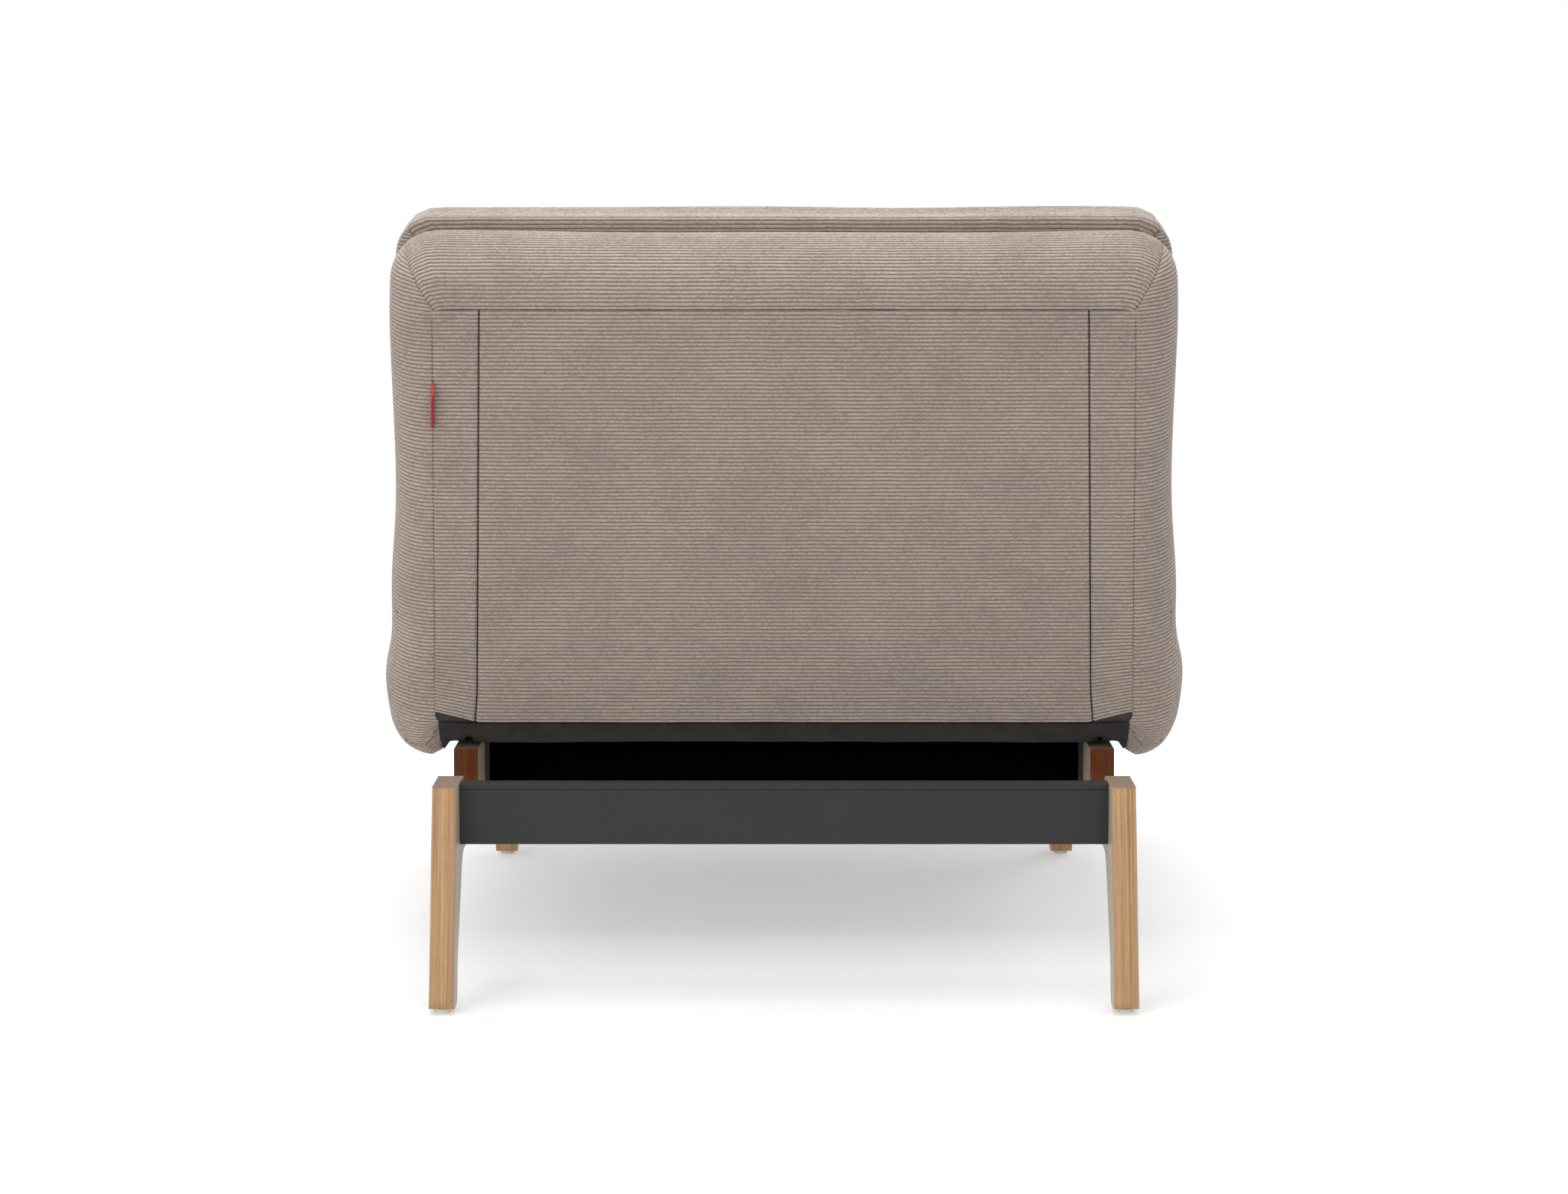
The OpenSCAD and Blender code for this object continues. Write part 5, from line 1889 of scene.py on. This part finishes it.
# The folded tab in millimetres: its low and high edge on the panel, where it leaves the seam,
# how far it stands out, how far its top leans over, half the gap in its fold, its cloth's
# thickness in metres; and its rows and columns
TAB_LOW_W = 343.6
TAB_HIGH_W = 396.8
TAB_ROOT_N = -54.0
TAB_REACH = 11.0
TAB_SWAY = 3.2
TAB_FOLD = 1.1
TAB_THICKNESS = 0.0005
TAB_ROWS = 27
TAB_COLUMNS = 9


def tab_row(w):
    """A row of the folded tab at a height on the panel, as x, n and w."""
    part = (w - TAB_LOW_W) / (TAB_HIGH_W - TAB_LOW_W)
    reach = TAB_REACH * min(1.0, 0.15 + 5.6 * (1 - part)) * min(1.0, 0.8 + 3 * part)
    sway = TAB_SWAY * float(bell((part - 0.84) / 0.14)) - 0.5
    base_x = float(seam_x(w))
    row = []
    for angle in np.radians(np.linspace(0, 180, TAB_COLUMNS)):
        cosine, sine = math.cos(angle), math.sin(angle)
        x = base_x - sway * 1.1 * sine - cosine * (TAB_FOLD - 0.4 * sine)
        row.append((x, TAB_ROOT_N - reach * sine**0.6 if sine > 0 else TAB_ROOT_N, w))
    return row


class ARMCHAIR_OT_label_tab(bpy.types.Operator):
    """Fold the bare red tab into the left seam"""

    bl_idname = "armchair.label_tab"
    bl_label = "Label tab"

    def execute(self, context):
        cloth = context.scene.armchair_cloth
        material = material_named("twill_ribbon", ribbon_weave)
        rows = np.linspace(TAB_LOW_W, TAB_HIGH_W, TAB_ROWS)
        grid = np.array([tab_row(w) for w in rows])
        across = np.broadcast_to(rows[:, None] - TAB_LOW_W, grid.shape[:2])
        along = np.broadcast_to(np.arange(TAB_COLUMNS)[None, :] * 3.0, grid.shape[:2])
        middle_w = (TAB_LOW_W + TAB_HIGH_W) / 2
        centre = back_place(np.array((float(seam_x(middle_w)), -50.0, middle_w)))
        cut = Cut(back_place(grid), across, along, centre)
        piece = cloth_piece("red_tab", cut, cloth, material, ribs=False, thickness=TAB_THICKNESS)
        dress(piece, "backrest", ("label_tab",))
        return {"FINISHED"}


# The stitches across each low corner: the steps of the casing's border between which they run,
# how far inside the border's edge they begin, where they end, and how far out of the cloth
STITCH_FROM_STEP = 10.0
STITCH_STEPS = 6.4
STITCH_INSET = 2.5
STITCH_END_X = 408.0
STITCH_OUT = 0.15
STITCH_POINTS = 24


def corner_stitch_line():
    """The points of the +X corner's stitch line, as x, n and w."""
    line = []
    for part in np.linspace(0.0, 1.0, STITCH_POINTS):
        n, rounding, ring = casing_ring(STITCH_FROM_STEP - STITCH_STEPS * part)
        path = on_ring(half_ring(ring), n, rounding)[LOW_START - SIDE_STEPS // 4:]
        at = (path[:, 0].max() - STITCH_INSET) * (1 - part) + STITCH_END_X * part
        line.append([np.interp(at, path[:, 0][::-1], path[:, i][::-1]) for i in range(3)])
    return np.array(line) - (0.0, 0.0, STITCH_OUT)


class ARMCHAIR_OT_stitching(bpy.types.Operator):
    """Sew the visible stitch lines"""

    bl_idname = "armchair.stitching"
    bl_label = "Stitching"

    def execute(self, context):
        stitch = context.scene.armchair_stitch
        thread = material_named("dark_thread", thread_twist, "dark_thread", THREAD_BROWN)
        line = corner_stitch_line()
        lines = [back_place(line * (side, 1, 1)) for side in (1, -1)]
        rows = stitch_row("corner_stitches", lines, stitch, thread)
        dress(rows, "backrest")
        return {"FINISHED"}


WELD_DISTANCE = 0.00001
BEVEL_STEPS = 3
SHARP_ANGLE = math.radians(38)


def soften(node, width):
    """Joins a CAD node's loose triangles on the way to the render, and rounds its edges."""
    weld = node.modifiers.new("Weld", "WELD")
    weld.merge_threshold = WELD_DISTANCE
    bevel = node.modifiers.new("Bevel", "BEVEL")
    bevel.width = width
    bevel.segments = BEVEL_STEPS
    bevel.limit_method = "ANGLE"
    bevel.angle_limit = SHARP_ANGLE


def paint(nodes, material, width=None):
    """Gives CAD nodes a material, and rounded edges of a width where they show."""
    for name in nodes:
        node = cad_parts[name]
        node.data.materials.clear()
        node.data.materials.append(material)
        if width:
            soften(node, width)


class ARMCHAIR_OT_woodwork(bpy.types.Operator):
    """Finish the oak side frames and the slats"""

    bl_idname = "armchair.woodwork"
    bl_label = "Woodwork"

    def execute(self, context):
        wood = context.scene.armchair_wood
        paint(("side_frame_left", "side_frame_right"), oak(wood), wood.edge_round)
        paint(("seat_slats", "back_slats"), birch())
        return {"FINISHED"}


# The mid rail's coat is painted nearly black: painted shade for the dark under the backrest
MID_RAIL_SHADE = 0.05


class ARMCHAIR_OT_metalwork(bpy.types.Operator):
    """Finish the rails, plates, tubes, hinges and fasteners"""

    bl_idname = "armchair.metalwork"
    bl_label = "Metalwork"

    def execute(self, context):
        steel = context.scene.armchair_steel
        coat = powder_coat("powder_coat", steel.coat, rough=0.48, shine=0.4)
        # Painted shade: the mid rail gets a near-black copy of the powder coat
        tone = [value * MID_RAIL_SHADE for value in steel.coat]
        deep = powder_coat("painted_shade_coat", tone, rough=0.8, shine=0.0)
        paint(("rear_rail", "front_rail"), coat, steel.edge_round)
        paint(("side_plate_left", "side_plate_right"), coat, steel.edge_round)
        paint(("mid_rail",), deep, steel.edge_round)
        paint((
            "seat_side_tubes", "seat_cross_tubes", "back_side_tubes", "back_cross_tubes",
            "hinge_bracket_left", "hinge_bracket_right", "hinge_arm_left", "hinge_arm_right",
        ), coat)
        paint((
            "frame_bolts", "bracket_bolts", "hinge_pins", "arm_bolts", "pawl_pins",
            "pawl_left", "pawl_right",
        ), zinc())
        return {"FINISHED"}


GLIDE_PALE = (0.72, 0.68, 0.60)
GLIDE_DARK = (0.60, 0.565, 0.50)
HOLDER_GREY = (0.032, 0.032, 0.033)
HOLDER_BLACK = (0.02, 0.02, 0.021)


class ARMCHAIR_OT_plastics(bpy.types.Operator):
    """Finish the glides and the slat holders"""

    bl_idname = "armchair.plastics"
    bl_label = "Plastics"

    def execute(self, context):
        paint(("floor_glides",), moulded("glide_plastic", GLIDE_PALE, GLIDE_DARK, rough=0.42))
        black = moulded("holder_plastic", HOLDER_GREY, HOLDER_BLACK, rough=0.5)
        paint(("seat_slat_holders", "back_slat_holders"), black)
        return {"FINISHED"}


# The floor in metres: its half width, its two whites, between which distances from the middle it
# fades out, and how clear it is under the chair
FLOOR_HALF = 8
FLOOR_DULL = (0.93, 0.93, 0.93)
FLOOR_WHITE = (0.95, 0.95, 0.95)
FADE_FROM = 1.3
FADE_TO = 2.6
FLOOR_CLEAR = 0.38

# The front lamp's power as a share of the side lamp's
FRONT_LAMP_SHARE = 0.7

# The photograph's camera: how far behind the rear feet it stands and how high, in metres, how
# far it looks down, in degrees, the shift of its picture, and its sensor's width
CAMERA_BEHIND = 3.099
CAMERA_HEIGHT = 0.903
CAMERA_DOWN = 5.46
CAMERA_SHIFT = -0.0879
SENSOR_WIDTH = 36.0


def studio_floor():
    """White floor that keeps the chair's shadow and fades out round it."""
    material = bpy.data.materials.new("floor")
    material.use_nodes = True
    material.node_tree.nodes.clear()
    tree = Tree(material.node_tree.nodes, material.node_tree.links)
    place, x, y, _ = object_place(tree)
    mottle = tree.noise(place, 3.0, 2.0)
    base = tree.mix(mottle, colour(FLOOR_DULL), colour(FLOOR_WHITE))
    white = tree.node("ShaderNodeBsdfDiffuse", None, {"Color": base})["BSDF"]
    clear = tree.node("ShaderNodeBsdfTransparent")["BSDF"]
    far = ((x * x + y * y) ** 0.5).ramp(FADE_FROM, FADE_TO).maximum(FLOOR_CLEAR)
    both = tree.node("ShaderNodeMixShader", None, {0: far, 1: white, 2: clear})[0]
    tree.node("ShaderNodeOutputMaterial", None, {"Surface": both})
    return material


def lamp(name, place, target, size, power):
    """A round area lamp that faces a target."""
    data = bpy.data.lights.new(name, "AREA")
    data.shape = "DISK"
    data.size = size
    data.energy = power
    made = bpy.data.objects.new(name, data)
    made.location = place
    aim = Vector(target) - Vector(place)
    made.rotation_euler = aim.to_track_quat("-Z", "Y").to_euler()
    bpy.context.scene.collection.objects.link(made)
    return made


class ARMCHAIR_OT_stage(bpy.types.Operator):
    """Set up the floor, the sky, the lamps and the camera"""

    bl_idname = "armchair.stage"
    bl_label = "Stage"

    def execute(self, context):
        studio = context.scene.armchair_studio
        scene = context.scene
        scene.view_settings.view_transform = "Standard"
        corners = ((-1, -1, 0), (1, -1, 0), (1, 1, 0), (-1, 1, 0))
        points = np.array(corners, dtype=float) * FLOOR_HALF
        floor = make_object(
            "studio_floor", points, [(0, 1, 2, 3)], material=studio_floor(), smooth=False
        )
        world = bpy.data.worlds.new("studio_sky")
        world.use_nodes = True
        world.node_tree.nodes.clear()
        tree = Tree(world.node_tree.nodes, world.node_tree.links)
        path = tree.node("ShaderNodeLightPath")
        seen = path["Is Camera Ray"].maximum(path["Is Glossy Ray"]).maximum(path["Is Transmission Ray"])
        sky = tree.node(
            "ShaderNodeBackground", None, {"Color": (1, 1, 1, 1), "Strength": studio.sky}
        )["Background"]
        white = tree.node(
            "ShaderNodeBackground", None, {"Color": (1, 1, 1, 1), "Strength": 1.0}
        )["Background"]
        both = tree.node("ShaderNodeMixShader", None, {0: seen, 1: sky, 2: white})[0]
        tree.node("ShaderNodeOutputWorld", None, {"Surface": both})
        scene.world = world
        lamp("overhead", place=(0.3, 0.0, 3.2), target=(0, 0, 0.4), size=3.0, power=studio.key)
        lamp(
            "rear_left", place=(2.4, 3.0, 1.8), target=(0, 0.2, 0.5), size=2.4,
            power=studio.side_key,
        )
        lamp(
            "front_right", place=(-2.6, -2.4, 2.2), target=(0, 0, 0.5), size=2.4,
            power=studio.side_key * FRONT_LAMP_SHARE,
        )
        camera_data = bpy.data.cameras.new("camera")
        camera_data.lens = studio.lens
        camera_data.sensor_width = SENSOR_WIDTH
        camera_data.shift_y = CAMERA_SHIFT
        camera = bpy.data.objects.new("camera", camera_data)
        camera.location = (0.0, CAMERA_BEHIND + REAR_Y * MM, CAMERA_HEIGHT)
        camera.rotation_euler = (math.radians(90 - CAMERA_DOWN), 0.0, math.radians(180))
        scene.collection.objects.link(camera)
        scene.camera = camera
        return {"FINISHED"}


PIECES = (
    ARMCHAIR_OT_stage, ARMCHAIR_OT_rear_panel, ARMCHAIR_OT_casing_borders,
    ARMCHAIR_OT_back_lining, ARMCHAIR_OT_front_pad, ARMCHAIR_OT_seat_cushion,
    ARMCHAIR_OT_seat_lining, ARMCHAIR_OT_label_tab, ARMCHAIR_OT_stitching,
    ARMCHAIR_OT_woodwork, ARMCHAIR_OT_metalwork, ARMCHAIR_OT_plastics,
)


class ARMCHAIR_PT_panel(bpy.types.Panel):
    """Lists the armchair's pieces and settings"""

    bl_idname = "ARMCHAIR_PT_panel"
    bl_label = "Armchair"
    bl_space_type = "VIEW_3D"
    bl_region_type = "UI"
    bl_category = "Armchair"

    def draw(self, context):
        layout = self.layout
        for piece in PIECES:
            layout.operator(piece.bl_idname)
        for name in SETTINGS:
            box = layout.box()
            settings = getattr(context.scene, name)
            for key in settings.bl_rna.properties.keys():
                if key not in ("rna_type", "name"):
                    box.prop(settings, key)


SETTINGS = {
    "armchair_cloth": ClothSettings,
    "armchair_wood": WoodSettings,
    "armchair_steel": SteelSettings,
    "armchair_stitch": StitchSettings,
    "armchair_studio": StudioSettings,
}


def register():
    for name, kind in SETTINGS.items():
        bpy.utils.register_class(kind)
        setattr(bpy.types.Scene, name, PointerProperty(type=kind))
    for piece in PIECES:
        bpy.utils.register_class(piece)
    bpy.utils.register_class(ARMCHAIR_PT_panel)


def unregister():
    bpy.utils.unregister_class(ARMCHAIR_PT_panel)
    for piece in reversed(PIECES):
        bpy.utils.unregister_class(piece)
    for name, kind in SETTINGS.items():
        delattr(bpy.types.Scene, name)
        bpy.utils.unregister_class(kind)


def main():
    register()
    bpy.ops.armchair.stage()
    bpy.ops.armchair.rear_panel()
    bpy.ops.armchair.casing_borders()
    bpy.ops.armchair.back_lining()
    bpy.ops.armchair.front_pad()
    bpy.ops.armchair.seat_cushion()
    bpy.ops.armchair.seat_lining()
    bpy.ops.armchair.label_tab()
    bpy.ops.armchair.stitching()
    bpy.ops.armchair.woodwork()
    bpy.ops.armchair.metalwork()
    bpy.ops.armchair.plastics()


if __name__ == "__main__":
    main()
